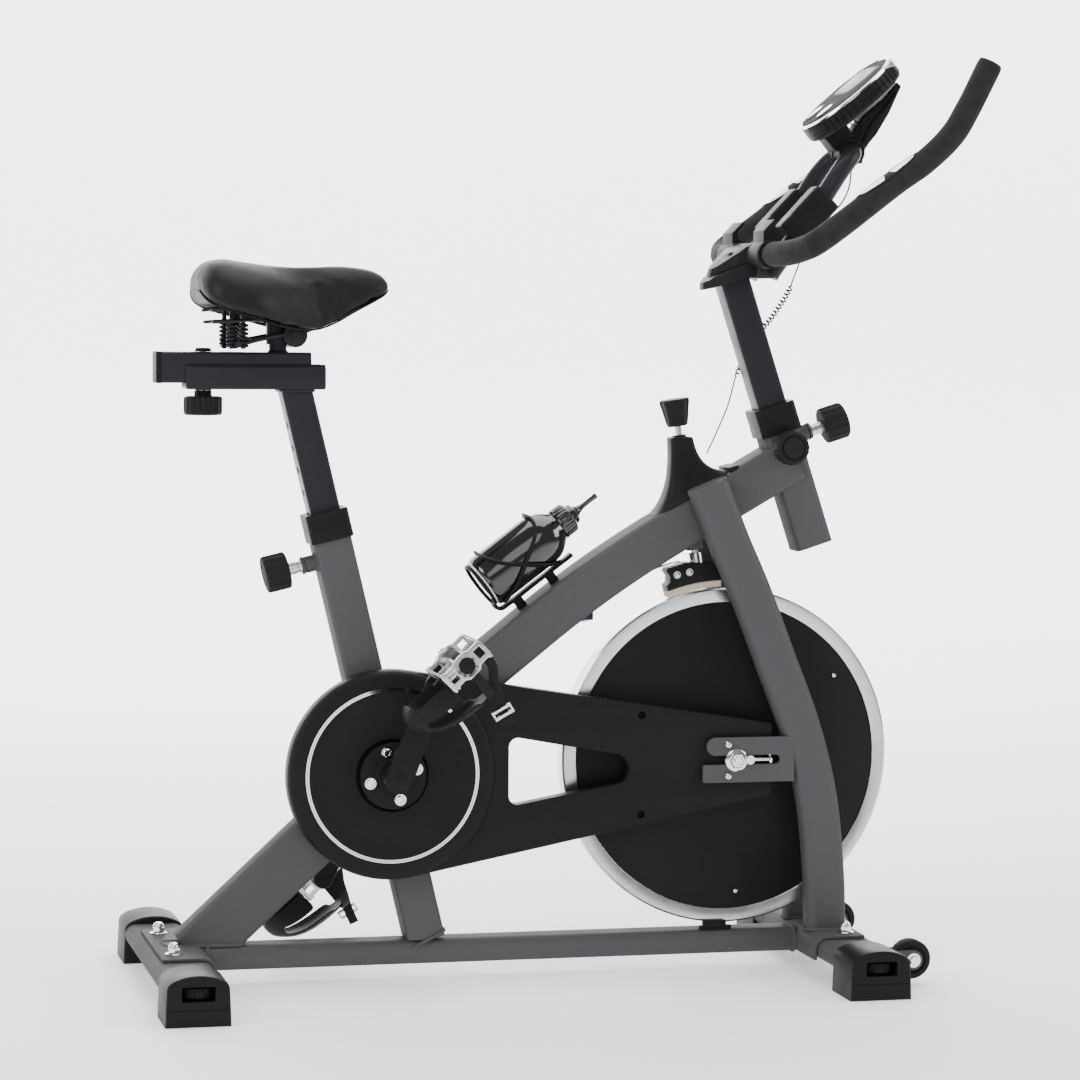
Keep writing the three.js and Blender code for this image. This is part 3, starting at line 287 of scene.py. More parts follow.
def piece(name, vertices, faces, slot, body, stands_for=(), angle=38):
    """A finished mesh piece in its material, on its body."""
    mesh = bpy.data.meshes.new(name)
    mesh.from_pydata([place(*v) for v in vertices], [], faces)
    mesh.validate()
    made = bmesh.new()
    made.from_mesh(mesh)
    bmesh.ops.recalc_face_normals(made, faces=made.faces)
    made.to_mesh(mesh)
    made.free()
    obj = bpy.data.objects.new(name, mesh)
    SCENE.collection.objects.link(obj)
    return dress(obj, slot, body, stands_for, angle)


def dress(obj, slot, body, stands_for=(), angle=38):
    """Gives an object the material of its slot, parents it to its body and hides the CAD nodes it stands for."""
    obj.data.materials.clear()
    obj.data.materials.append(MATERIALS[slot])
    if obj.type == "MESH":
        smooth(obj, angle)
    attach(obj, body)
    if stands_for:
        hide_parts(*stands_for)
    return obj


def apply_modifiers(obj):
    """Bakes an object's modifiers into its mesh."""
    bpy.context.view_layer.update()
    graph = bpy.context.evaluated_depsgraph_get()
    mesh = bpy.data.meshes.new_from_object(obj.evaluated_get(graph))
    obj.modifiers.clear()
    old = obj.data
    obj.data = mesh
    bpy.data.meshes.remove(old)
    return obj


def bevel(obj, width, segments=3, angle=35):
    """Rounds the edges that are sharper than the angle."""
    made = obj.modifiers.new("edge", "BEVEL")
    made.width = width / 1000
    made.segments = segments
    made.limit_method = "ANGLE"
    made.angle_limit = math.radians(angle)
    made.harden_normals = False
    apply_modifiers(obj)
    smooth(obj)
    return obj


def cut(obj, *tools):
    for tool in tools:
        made = obj.modifiers.new("cut", "BOOLEAN")
        made.operation = "DIFFERENCE"
        made.solver = "EXACT"
        made.object = tool
    apply_modifiers(obj)
    for tool in tools:
        bpy.data.objects.remove(tool)
    smooth(obj)
    return obj


def joined(name, objects):
    """Several pieces of one material and body as one piece."""
    with bpy.context.temp_override(active_object=objects[0], selected_editable_objects=objects):
        bpy.ops.object.join()
    objects[0].name = name
    return objects[0]


def circle(radius, sides=32):
    return [(radius * math.cos(2 * math.pi * i / sides), radius * math.sin(2 * math.pi * i / sides))
            for i in range(sides)]


def rounded(width, height, radius, steps=6):
    points = []
    corners = ((1, 1, 0), (-1, 1, 90), (-1, -1, 180), (1, -1, 270))
    for sx, sy, start in corners:
        for i in range(steps + 1):
            angle = math.radians(start + 90 * i / steps)
            points.append((sx * (width / 2 - radius) + radius * math.cos(angle),
                           sy * (height / 2 - radius) + radius * math.sin(angle)))
    return points


def curve_through(points, per_span=8):
    """Centripetal Catmull-Rom curve through points, as in the CAD."""
    p = [Vector(v) for v in points]
    p = [p[0] * 2 - p[1], *p, p[-1] * 2 - p[-2]]
    found = []
    for i in range(1, len(p) - 2):
        a, b, c, d = p[i - 1:i + 3]
        t0 = 0
        t1 = t0 + (b - a).length ** 0.5
        t2 = t1 + (c - b).length ** 0.5
        t3 = t2 + (d - c).length ** 0.5
        for k in range(per_span):
            t = t1 + (t2 - t1) * k / per_span
            ab = a * ((t1 - t) / (t1 - t0)) + b * ((t - t0) / (t1 - t0))
            bc = b * ((t2 - t) / (t2 - t1)) + c * ((t - t1) / (t2 - t1))
            cd = c * ((t3 - t) / (t3 - t2)) + d * ((t - t2) / (t3 - t2))
            abc = ab * ((t2 - t) / (t2 - t0)) + bc * ((t - t0) / (t2 - t0))
            bcd = bc * ((t3 - t) / (t3 - t1)) + cd * ((t - t1) / (t3 - t1))
            found.append(abc * ((t2 - t) / (t2 - t1)) + bcd * ((t - t1) / (t2 - t1)))
    return [*found, p[-2]]


def sweep_data(path, section, across=(0, 1, 0), closed=False, scale=None):
    """Vertices and faces of a section carried along a path; the section's first axis starts along across."""
    path = [Vector(v) for v in path]
    count, sides = len(path), len(section)
    vertices, faces = [], []
    side = Vector(across)
    for i, point in enumerate(path):
        ahead = path[(i + 1) % count] if closed else path[min(i + 1, count - 1)]
        behind = path[i - 1] if closed else path[max(i - 1, 0)]
        tangent = (ahead - behind).normalized()
        side = (side - tangent * side.dot(tangent)).normalized()
        up = tangent.cross(side)
        size = scale[i] if scale else 1
        vertices += [tuple(point + side * (u * size) + up * (v * size)) for u, v in section]
    for i in range(count if closed else count - 1):
        for j in range(sides):
            a, b = i * sides + j, i * sides + (j + 1) % sides
            c, d = ((i + 1) % count) * sides + (j + 1) % sides, ((i + 1) % count) * sides + j
            faces.append((a, b, c, d))
    if not closed:
        faces.append(tuple(range(sides)))
        faces.append(tuple((count - 1) * sides + j for j in range(sides)))
    return vertices, faces


def sweep(name, path, section, slot, body, stands_for=(), across=(0, 1, 0), closed=False, scale=None):
    vertices, faces = sweep_data(path, section, across, closed, scale)
    return piece(name, vertices, faces, slot, body, stands_for)


def rod(name, start, end, radius, slot, body, sides=32, end_radius=None, stands_for=()):
    scale = [1, (end_radius or radius) / radius]
    direction = Vector(end) - Vector(start)
    across = (1, 0, 0) if abs(direction.normalized().y) > 0.7 else (0, 1, 0)
    return sweep(name, [start, end], circle(radius, sides), slot, body, stands_for, across, False, scale)


def lathe(name, centre, axis, profile, slot, body, stands_for=(), segments=64):
    """A turned piece: profile is (radius, distance along the axis) pairs; a radius of 0 closes an end."""
    axis = Vector(axis).normalized()
    u = axis.orthogonal().normalized()
    v = axis.cross(u)
    centre = Vector(centre)
    vertices, rings, faces = [], [], []
    for radius, along in profile:
        if radius == 0:
            rings.append([len(vertices)] * segments)
            vertices.append(tuple(centre + axis * along))
            continue
        start = len(vertices)
        for i in range(segments):
            angle = 2 * math.pi * i / segments
            vertices.append(tuple(centre + axis * along + (u * math.cos(angle) + v * math.sin(angle)) * radius))
        rings.append(list(range(start, start + segments)))
    closed = profile[0][0] != 0 or profile[-1][0] != 0
    pairs = list(zip(rings, rings[1:] + rings[:1])) if closed else list(zip(rings, rings[1:]))
    for first, second in pairs:
        for i in range(segments):
            j = (i + 1) % segments
            corners = [first[i], first[j], second[j], second[i]]
            face = tuple(dict.fromkeys(corners))
            if len(face) > 2:
                faces.append(face)
    return piece(name, vertices, faces, slot, body, stands_for, angle=32)


def arc(centre, radius, start, end, steps=12):
    x, z = centre
    return [(x + radius * math.cos(math.radians(start + (end - start) * i / steps)),
             z + radius * math.sin(math.radians(start + (end - start) * i / steps))) for i in range(steps + 1)]


def plate(name, outline, low, high, edge, slot, body, stands_for=(), holes=(), segments=3):
    """A side-view outline with rounded edges, from y = low to y = high."""
    data = bpy.data.curves.new(name, "CURVE")
    data.dimensions = "2D"
    data.fill_mode = "BOTH"
    data.extrude = (high - low) / 2000 - edge / 1000
    data.bevel_depth = edge / 1000
    data.bevel_resolution = segments
    data.offset = -edge / 1000
    for ring in (outline, *holes):
        spline = data.splines.new("POLY")
        spline.points.add(len(ring) - 1)
        for point, (x, z) in zip(spline.points, ring):
            point.co = ((x - HALF_LENGTH) / 1000, z / 1000, 0, 1)
        spline.use_cyclic_u = True
    obj = bpy.data.objects.new(name + "_outline", data)
    SCENE.collection.objects.link(obj)
    bpy.context.view_layer.update()
    graph = bpy.context.evaluated_depsgraph_get()
    mesh = bpy.data.meshes.new_from_object(obj.evaluated_get(graph))
    bpy.data.objects.remove(obj)
    stand = Matrix.Translation((0, (low + high) / 2000, 0)) @ Matrix.Rotation(math.pi / 2, 4, "X")
    mesh.transform(stand)
    made = bmesh.new()
    made.from_mesh(mesh)
    bmesh.ops.remove_doubles(made, verts=made.verts, dist=1e-6)
    bmesh.ops.recalc_face_normals(made, faces=made.faces)
    made.to_mesh(mesh)
    made.free()
    made_piece = bpy.data.objects.new(name, mesh)
    SCENE.collection.objects.link(made_piece)
    return dress(made_piece, slot, body, stands_for, 30)


def block(name, low, high, edge, slot, body, stands_for=(), segments=3):
    vertices = [(x, y, z) for x in (low[0], high[0]) for y in (low[1], high[1]) for z in (low[2], high[2])]
    faces = [(0, 1, 3, 2), (4, 6, 7, 5), (0, 4, 5, 1), (2, 3, 7, 6), (0, 2, 6, 4), (1, 5, 7, 3)]
    made = piece(name, vertices, faces, slot, body, stands_for)
    return bevel(made, edge, segments) if edge else made


def hex_bolt(name, centre, axis, size, slot, body, height=None):
    """Hexagon head on a washer."""
    axis = Vector(axis).normalized()
    height = height or size * 0.7
    centre = Vector(centre)
    side = axis.orthogonal()
    head = sweep(name, [centre, centre + axis * height * 0.75, centre + axis * height],
                 circle(size, 6), slot, body, across=side, scale=[1, 1, 0.86])
    washer = lathe(name + "_washer", centre - axis * 0.2, axis, [(0, 0), (size * 1.45, 0), (size * 1.45, 1.2),
                   (0, 1.2)], slot, body, segments=28)
    return joined(name, [head, washer])


def dome_screw(name, centre, axis, radius, slot, body):
    """Pan-head screw with a cross recess left as a small dimple."""
    profile = [(0, 0), (radius, 0), (radius, radius * 0.25), (radius * 0.8, radius * 0.55),
               (radius * 0.4, radius * 0.68), (radius * 0.3, radius * 0.35), (0, radius * 0.3)]
    return lathe(name, centre, axis, profile, slot, body, segments=24)


def weld(name, path, radius=2.2, closed=True, body=FRAME):
    """Weld bead: a rope of overlapping ripples in the frame's paint."""
    count = len(path)
    scale = [1 + 0.16 * math.sin(i * 2.1) for i in range(count)]
    return sweep(name, path, circle(radius, 8), "frame_paint", body, closed=closed, scale=scale)


def resample(points, step):
    """Points spaced evenly along a polyline."""
    points = [Vector(p) for p in points]
    found = [points[0]]
    left = step
    for a, b in zip(points, points[1:]):
        length = (b - a).length
        done = 0
        while length - done >= left:
            done += left
            found.append(a.lerp(b, done / length))
            left = step
        left -= length - done
    return found


# ---------------------------------------------------------------- camera, light and floor
def glowing_backdrop():
    """White sweep with a painted glow: its emission grows with distance, and it glows only faintly under the bike."""
    made = base_material("backdrop", (0.92, 0.92, 0.92), 0.7, specular=0.1)
    nodes, links = made.node_tree.nodes, made.node_tree.links
    shader = next(n for n in nodes if n.type == "BSDF_PRINCIPLED")
    where = nodes.new("ShaderNodeNewGeometry")
    apart = nodes.new("ShaderNodeSeparateXYZ")
    ramp = nodes.new("ShaderNodeMapRange")
    ramp.interpolation_type = "SMOOTHSTEP"
    for name, value in (("From Min", -0.6), ("From Max", 5.0), ("To Min", 0.35), ("To Max", 3.2)):
        ramp.inputs[name].default_value = value
    links.new(where.outputs["Position"], apart.inputs["Vector"])
    links.new(apart.outputs["Y"], ramp.inputs["Value"])
    links.new(ramp.outputs["Result"], shader.inputs["Emission Strength"])
    shader.inputs["Emission Color"].default_value = (1, 1, 1, 1)
    return made


def add_camera():
    """Camera where it sees the bike as the reference view does."""
    turn, down, roll = (math.radians(v) for v in (CAMERA_TURN, CAMERA_DOWN, CAMERA_ROLL))
    ahead = Vector((math.sin(turn) * math.cos(down), math.cos(turn) * math.cos(down), -math.sin(down)))
    right = Vector((math.cos(turn), -math.sin(turn), 0))
    up = right.cross(ahead)
    right, up = right * math.cos(roll) + up * math.sin(roll), up * math.cos(roll) - right * math.sin(roll)
    data = bpy.data.cameras.new("camera")
    data.lens = LENS
    data.sensor_width = 36
    data.clip_end = 50
    camera = bpy.data.objects.new("camera", data)
    camera.matrix_world = Matrix((
        (right.x, up.x, -ahead.x, 0), (right.y, up.y, -ahead.y, 0), (right.z, up.z, -ahead.z, 0), (0, 0, 0, 1)))
    camera.location = place(*CAMERA_PLACE)
    SCENE.collection.objects.link(camera)
    SCENE.camera = camera


def add_lights():
    """Dim white surroundings and five large soft lamps."""
    world = bpy.data.worlds.new("studio")
    world.use_nodes = True
    world.node_tree.nodes["Background"].inputs["Color"].default_value = (1, 1, 1, 1)
    world.node_tree.nodes["Background"].inputs["Strength"].default_value = 0.32
    SCENE.world = world
    lamps = (  # name, place, aim, size and power
        ("top", (0.2, 0.3, 3.4), (0, 0, 0.4), 3.0, 130),
        ("left", (-3.2, -1.6, 2.2), (0, 0, 0.6), 1.8, 80),
        ("right", (3.4, -1.2, 2.0), (0.2, 0, 0.6), 1.6, 70),
        ("front", (-0.8, -4.6, 2.6), (0, 0, 0.5), 2.4, 45),
        ("back", (0.6, 3.6, 2.4), (0, 0, 0.6), 2.4, 60),
    )
    for name, where, target, size, power in lamps:
        light = bpy.data.lights.new(name, "AREA")
        light.shape = "SQUARE"
        light.size = size
        light.energy = power
        lamp = bpy.data.objects.new(name, light)
        lamp.location = where
        lamp.rotation_euler = (Vector(target) - Vector(where)).to_track_quat("-Z", "Y").to_euler()
        SCENE.collection.objects.link(lamp)


def add_backdrop():
    """Pale floor that curves up into a wall behind the bike."""
    material = glowing_backdrop()
    profile = [(-14.0, 0.0), (9.0, 0.0)]
    profile += [(9.0 + 3 * math.sin(math.radians(a)), 3 - 3 * math.cos(math.radians(a))) for a in range(10, 91, 10)]
    profile += [(12.0, 12.0)]
    vertices = [(x, y, z) for y, z in profile for x in (-14, 14)]
    faces = [(2 * i, 2 * i + 1, 2 * i + 3, 2 * i + 2) for i in range(len(profile) - 1)]
    mesh = bpy.data.meshes.new("backdrop")
    mesh.from_pydata(vertices, [], faces)
    mesh.materials.append(material)
    floor = bpy.data.objects.new("backdrop", mesh)
    SCENE.collection.objects.link(floor)
    for face in mesh.polygons:
        face.use_smooth = True


add_camera()
add_lights()
add_backdrop()


# ---------------------------------------------------------------- console lead
LEAD_TOP = [(891, 44, 988), (893, 33, 974), (887, 15, 950), (874, 3, 925)]
LEAD_CURL = [(872, 1, 920), (862, 9, 897), (850, 18, 876), (838, 26, 858), (820, 31, 826), (803, 27, 795)]
LEAD_LOW = [(802, 26, 793), (790, 18, 757), (772, 8, 722), (757, 2, 694)]
LEAD_DIAMETER = 2.1
CURL_RADIUS = 3.3
CURL_PITCH = 5.6


def lead():
    """The curly lead from the bars to the brake cover: straight, coiled, then straight again."""
    route = [*LEAD_TOP, *LEAD_CURL, *LEAD_LOW]
    path = resample(curve_through(route, 16), 0.28)
    start = min(range(len(path)), key=lambda i: (path[i] - Vector(LEAD_CURL[0])).length)
    end = min(range(len(path)), key=lambda i: (path[i] - Vector(LEAD_CURL[-1])).length)
    side = Vector((0, 1, 0))
    points = []
    travelled = 0
    for i, point in enumerate(path):
        ahead = path[min(i + 1, len(path) - 1)]
        tangent = (ahead - path[max(i - 1, 0)]).normalized()
        side = (side - tangent * side.dot(tangent)).normalized()
        up = tangent.cross(side)
        swell = max(0, min(1, (i - start) / 24, (end - i) / 24))
        if swell > 0:
            travelled += 0.28
            angle = 2 * math.pi * travelled / CURL_PITCH
            radius = CURL_RADIUS * swell
            points.append(point + side * radius * math.cos(angle) + up * radius * math.sin(angle))
        elif i % 8 == 0 or i == len(path) - 1:
            points.append(point)
    vertices, faces = sweep_data(points, circle(LEAD_DIAMETER / 2, 8), (0, 0, 1))
    made = piece("console_lead", vertices, faces, "rubber", FRAME)
    made.parent = None
    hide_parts(*[n for n in ("lead_top", "lead_curl", "lead_low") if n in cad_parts])
    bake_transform(made)


lead()


# ---------------------------------------------------------------- frame
def leaning_tube(name, axis, size, corner, low, high, slot, body, stands_for=(), wall=2.2, open_low=False):
    """Square tube on a leaning axis; an open end shows the wall and a dark inside."""
    outer = rounded(size, size, corner)
    path = [on_axis(axis, 0, 0, low), on_axis(axis, 0, 0, high)]
    made = sweep(name, path, outer, slot, body, stands_for)
    if open_low:
        inner = rounded(size - 2 * wall, size - 2 * wall, corner - wall)
        hole = sweep(name + "_hole", [on_axis(axis, 0, 0, low - 5), on_axis(axis, 0, 0, high + 5)], inner, slot, body)
        cut(made, hole)
    return made


MAIN_LOW, MAIN_BEND, MAIN_HIGH = (321, 306), (607, 534.6), (872, 688)
MAIN_HEIGHT, MAIN_WIDTH = 60, 58


def main_line():
    """Centre line of the diagonal main tube, bent gently in its middle."""
    low, bend, high = (Vector((x, 0, z)) for x, z in (MAIN_LOW, MAIN_BEND, MAIN_HIGH))
    before, after = bend.lerp(low, 0.28), bend.lerp(high, 0.36)
    points = [low, low.lerp(before, 0.5)]
    for i in range(15):
        t = i / 14
        points.append(before.lerp(bend, t).lerp(bend.lerp(after, t), t))
    return [*points, after.lerp(high, 0.5), high]


def frame_tubes():
    seat = leaning_tube("seat_tube_shell", SEAT_AXIS, 50, 5.5, -229, 331, "frame_paint", FRAME, ("seat_tube",))
    strut_angle = math.radians(42.8)
    back = Vector((-math.cos(strut_angle), 0, -math.sin(strut_angle)))
    start = Vector((CRANK[0], 0, CRANK[1]))
    section = rounded(40, 70, 7)
    strut = sweep("rear_strut_shell", [start, start + back * 345], section, "frame_paint", FRAME)
    keep_above = block("strut_trim", (-200, -90, -200), (400, 90, 56.4), 0, "frame_paint", FRAME)
    cut(strut, keep_above)
    cut(seat, block("seat_trim", (200, -90, -200), (600, 90, 56.4), 0, "frame_paint", FRAME))
    main = sweep("main_tube_shell", main_line(), rounded(MAIN_WIDTH, MAIN_HEIGHT, 6.5), "frame_paint", FRAME,
                 ("main_tube",))
    way = [on_axis(SEAT_AXIS, 0, 0, 45), on_axis(SEAT_AXIS, 0, 0, 140)]
    cut(main, sweep("seat_post_way", way, rounded(42, 42, 4.5), "frame_paint", FRAME))
    head = leaning_tube("head_tube_shell", HEAD_AXIS, 50, 8, -139, 38, "frame_paint", FRAME, open_low=True)
    shell = rod("bracket_shell", (CRANK[0], -29, CRANK[1]), (CRANK[0], 29, CRANK[1]), 22, "frame_paint", FRAME, 48)
    for made in (seat, strut, main, head, shell):
        smooth(made, 30)
    for axis, along, sign in ((SEAT_AXIS, 288, -1), (HEAD_AXIS, 8, 1)):
        a, b = on_axis(axis, sign * 24, 0, along), on_axis(axis, sign * 41, 0, along)
        lathe(f"pin_boss_{sign + 1}", a, Vector(b) - Vector(a),
              [(5.5, 3), (5.5, 16.8), (9.4, 16.8), (10.8, 15.6), (10.8, 3), (13.5, 1.6), (14, -1)],
              "frame_paint", FRAME, segments=40)


def leg_line():
    points = [(744, 654), (773, 582), (803, 515), (838, 427), (876, 328), (899, 240), (911, 136), (914, 58.6)]
    return points


LEG_WIDTH, LEG_DEPTH, LEG_INNER = 36, 55, 29.4


def fork_legs():
    for side, sign in (("right", -1), ("left", 1)):
        y = sign * (LEG_INNER + LEG_WIDTH / 2)
        path = curve_through([(x, y, z) for x, z in leg_line()], 10)
        leg = sweep(f"fork_leg_{side}_shell", path, rounded(LEG_WIDTH, LEG_DEPTH, 14, 9), "frame_paint", FRAME,
                    (f"fork_leg_{side}",))
        smooth(leg, 30)
        axle_plate(side, sign)
        # the weld that closes the leg's top against the main tube
        top = path[0]
        along = (path[1] - path[0]).normalized()
        across = Vector((0, 1, 0))
        depth = along.cross(across)
        rim = [top + across * u + depth * v for u, v in rounded(LEG_WIDTH - 3, LEG_DEPTH - 3, 13, 6)]
        weld(f"leg_top_weld_{side}", resample([*rim, rim[0]], 2.0)[:-1], 1.6)
        foot = path[-1] + Vector((0, 0, 0.4))
        ring = [foot + Vector((v, u, 0)) for u, v in rounded(LEG_WIDTH + 1, LEG_DEPTH + 1, 14, 6)]
        weld(f"leg_foot_weld_{side}", resample([*ring, ring[0]], 2.2)[:-1], 2.4)


def axle_plate(side, sign):
    back, front, slot_half = 747, 864, 6
    outline = [(front, 260), (front, 320), *arc((back + 8, 308), 12, 90, 270, 16),
               *arc((838, WHEEL[1]), slot_half, 90, -90, 12), *arc((back - 6, 281), 3, 90, 180, 5),
               *arc((back - 6, 263), 3, 180, 270, 5)]
    low, high = (-64, -58) if sign < 0 else (58, 64)
    plate(f"axle_plate_{side}", outline, low, high, 0.8, "frame_paint", FRAME)
    y = sign * 64.2
    for z in (WHEEL[1] - 21, WHEEL[1] + 21):
        dome_screw(f"axle_plate_screw_{side}_{z}", (772, y, z), (0, sign, 0), 5, "chrome", FRAME)
    start, end = (774, sign * 61, WHEEL[1]), (833, sign * 61, WHEEL[1])
    threaded(f"axle_tensioner_{side}", start, end, 3.2, "chrome", FRAME)


def threaded(name, start, end, radius, slot, body, pitch=1.6):
    """Screw thread as close turned ridges."""
    start, end = Vector(start), Vector(end)
    length = (end - start).length
    profile = [(0, 0)]
    for i in range(int(length / pitch)):
        profile += [(radius * 0.88, i * pitch), (radius, (i + 0.5) * pitch)]
    profile += [(radius * 0.88, length), (0, length)]
    return lathe(name, start, end - start, profile, slot, body, segments=20)


def stabilisers():
    section = rounded(78, 28, 13.5, 8)
    for name, x in (("rear", 41), ("front", 923)):
        path = [(x, -206, 40), (x, 206, 40)]
        bar = sweep(f"{name}_stabiliser_shell", path, section, "frame_paint", FRAME, (f"{name}_stabiliser",),
                    across=(1, 0, 0))
        smooth(bar, 30)


def wrap_plate(name, x, toward, half):
    """Folded plate over a stabiliser: flat on top, curled down the side that faces the beam."""
    inner = [(x - toward * 26, 54.6), (x + toward * 25, 54.6)]
    for i in range(11):
        angle = math.radians(90 - 90 * i / 10)
        inner.append((x + toward * (25.5 + 14.1 * math.cos(angle)), 40.5 + 14.1 * math.sin(angle)))
    inner.append((x + toward * 39.6, 27.5))
    outer = []
    for i in range(11):
        angle = math.radians(90 * i / 10)
        outer.append((x + toward * (25.5 + 18.1 * math.cos(angle)), 40.5 + 18.1 * math.sin(angle)))
    outline = [*inner, (x + toward * 43.6, 27.5), *outer, (x - toward * 26, 58.6)]
    return plate(name, outline, -half, half, 0.7, "frame_paint", FRAME)


def base():
    section = rounded(50, 32, 9.5, 8)
    beam = sweep("base_beam_shell", [(75, 0, 40), (889, 0, 40)], section, "frame_paint", FRAME, ("base_beam",))
    smooth(beam, 30)
    wrap_plate("rear_saddle_plate", 41, 1, 113)
    wrap_plate("front_saddle_plate", 923, -1, 113)
    for i, (x, y) in enumerate(((34, -78), (34, 78), (930, -88), (930, 88))):
        acorn_nut(f"plate_nut_{i}", (x, y, 58.6))
    for name, x in (("rear", 85), ("front", 879.5)):
        ring = [(x, u, 40 + v) for u, v in rounded(50, 32, 9.5, 6)]
        weld(f"beam_weld_{name}", resample([*ring, ring[0]], 2.1)[:-1], 2.4)
    seat_foot = [on_axis(SEAT_AXIS, v, u, -229 + 0.241 * v) for u, v in rounded(51, 51, 6, 5)]
    weld("seat_tube_foot_weld", resample([*seat_foot, seat_foot[0]], 2.1)[:-1], 2.4)
    slope = math.tan(math.radians(42.8))
    run = 35 / math.sin(math.radians(42.8))
    middle = CRANK[0] - (CRANK[1] - 57) / slope
    strut_foot = [(middle + v * run / 35, u, 57.4) for u, v in rounded(41, 70, 7, 5)]
    weld("strut_foot_weld", resample([*strut_foot, strut_foot[0]], 2.1)[:-1], 2.6)
    flywheel_stop()


def acorn_nut(name, foot):
    x, y, z = foot
    body = sweep(name, [(x, y, z + 1.6), (x, y, z + 8)], circle(8.2, 6), "chrome", FRAME)
    washer = lathe(name + "_washer", (x, y, z), (0, 0, 1), [(0, 0), (11.5, 0), (11.5, 1.2), (11, 1.7), (0, 1.7)],
                   "chrome", FRAME, segments=40)
    dome = [(0, 0), (7.2, 0), (7.2, 1.5), *[(7.2 * math.cos(a), 1.5 + 6.4 * math.sin(a))
            for a in (0.3, 0.6, 0.9, 1.2)], (0, 7.9)]
    cap = lathe(name + "_dome", (x, y, z + 7.8), (0, 0, 1), dome, "chrome", FRAME, segments=32)
    return joined(name, [body, washer, cap])


def flywheel_stop():
    """Small bracket on the beam under the flywheel that holds its speed sensor."""
    block("sensor_bracket", (748, -20, 56.2), (792, -14, 62), 0.8, "black_plastic", FRAME)
    block("sensor_body", (752, -24, 61), (784, -15, 69), 1.5, "black_plastic", FRAME)


frame_tubes()
fork_legs()
stabilisers()
base()


# ---------------------------------------------------------------- feet and transport wheels
CAP_HALF, CAP_LENGTH, HALF_TRACK = 41, 82, 260


def end_cap(name, x, sign):
    """Moulded foot with an arched top, a step along its foot and a window for its levelling wheel."""
    shoulder, top = 48, 64
    outline = [(x - CAP_HALF, 0), (x + CAP_HALF, 0), (x + CAP_HALF - 0.6, 20), (x + CAP_HALF - 2, shoulder)]
    crown = []
    for i in range(17):
        t = i / 16
        across = (CAP_HALF - 4) * (1 - 2 * t)
        crown.append((x + across, shoulder + 5 + (top - shoulder - 5) * (1 - (2 * t - 1) ** 2) ** 0.8))
    outline += [*crown, (x - CAP_HALF + 2, shoulder), (x - CAP_HALF + 0.6, 20)]
    inner, outer = sorted((sign * (HALF_TRACK - CAP_LENGTH), sign * HALF_TRACK))
    body = plate(name + "_shell", outline, inner, outer, 3.2, "black_plastic", FRAME, (name,), segments=4)
    y = sign * (HALF_TRACK - 22)
    near, far = sorted((sign * (HALF_TRACK - 46), sign * (HALF_TRACK + 2)))
    window = block(name + "_window", (x - 21, near, 31.5), (x + 21, far, 50.5), 2.5, "black_plastic", FRAME)
    socket = sweep(name + "_socket", [(x, sign * (HALF_TRACK - CAP_LENGTH - 1), 40), (x, sign * 206.5, 40)],
                   rounded(78.6, 28.6, 13.8, 8), "black_plastic", FRAME, across=(1, 0, 0))
    step_low, step_high = sorted((sign * (HALF_TRACK - 0.9), sign * (HALF_TRACK + 2)))
    step = block(name + "_step", (x - 60, step_low, 20.6), (x + 60, step_high, 22.2), 0, "black_plastic", FRAME)
    cut(body, window, socket, step)
    ribs = circle(17.2, 96)
    wheel_section = [(u * (1 + 0.035 * math.cos(24 * math.atan2(v, u))),
                      v * (1 + 0.035 * math.cos(24 * math.atan2(v, u))))
                     for u, v in ribs]
    leveller = name.replace("cap", "leveller")
    sweep(leveller + "_wheel", [(x, y, 34.5), (x, y, 35.5), (x, y, 46.5), (x, y, 47.5)], wheel_section, "rubber",
          leveller, (leveller,), scale=[0.95, 1, 1, 0.95])
    rod(leveller + "_foot", (x, y, 0.4), (x, y, 35), 5.5, "rubber", leveller, 28)


def transport_wheel(side, sign):
    x, z, y = 997, 34, sign * 156
    profile = [(4.4, -10.5), (9, -10.5), (9.5, -8.4), (17.5, -8.4), (18.5, -10.5), (22.5, -10.5),
               (25, -9.6), (26, -7.5), (26, -1.4), (25.3, -0.8), (25.3, 0.8), (26, 1.4), (26, 7.5), (25, 9.6),
               (22.5, 10.5), (18.5, 10.5), (17.5, 8.4), (9.5, 8.4), (9, 10.5), (4.4, 10.5)]
    lathe(f"transport_wheel_{side}_tyre", (x, y, z), (0, 1, 0), profile, "rubber", f"transport_wheel_{side}",
          (f"transport_wheel_{side}",), 72)
    for offset in (-14, 14):
        outline = [(948, 47), *arc((x, z), 13, 90, -90, 16), (948, 31)]
        plate(f"wheel_arm_{side}_{offset}", outline, y + offset - 1.6, y + offset + 1.6, 0.6, "frame_paint", FRAME)
    hex_bolt(f"wheel_bolt_{side}", (x, y - 15.8, z), (0, -1, 0), 6.5, "chrome", FRAME)
    hex_bolt(f"wheel_nut_{side}", (x, y + 15.8, z), (0, 1, 0), 6.5, "chrome", FRAME)
    rod(f"wheel_pin_{side}", (x, y - 15, z), (x, y + 15, z), 3.9, "chrome", FRAME, 24)


def feet():
    """Four end caps with their levelling wheels, and the two transport wheels."""
    for end, x in (("rear", 41), ("front", 923)):
        for side, sign in (("right", -1), ("left", 1)):
            end_cap(f"{end}_cap_{side}", x, sign)
    for side, sign in (("right", -1), ("left", 1)):
        transport_wheel(side, sign)


feet()


# ---------------------------------------------------------------- belt cover
COVER_RADIUS, COVER_FRONT, COVER_HIGH, COVER_LOW = 137, 836, 338, 240
COVER_INNER, COVER_ARM, COVER_DRUM = -29.4, -54, -60


def tangent_angle(point, side):
    dx, dz = point[0] - CRANK[0], point[1] - CRANK[1]
    return math.degrees(math.atan2(dz, dx) + side * math.acos(COVER_RADIUS / math.hypot(dx, dz)))


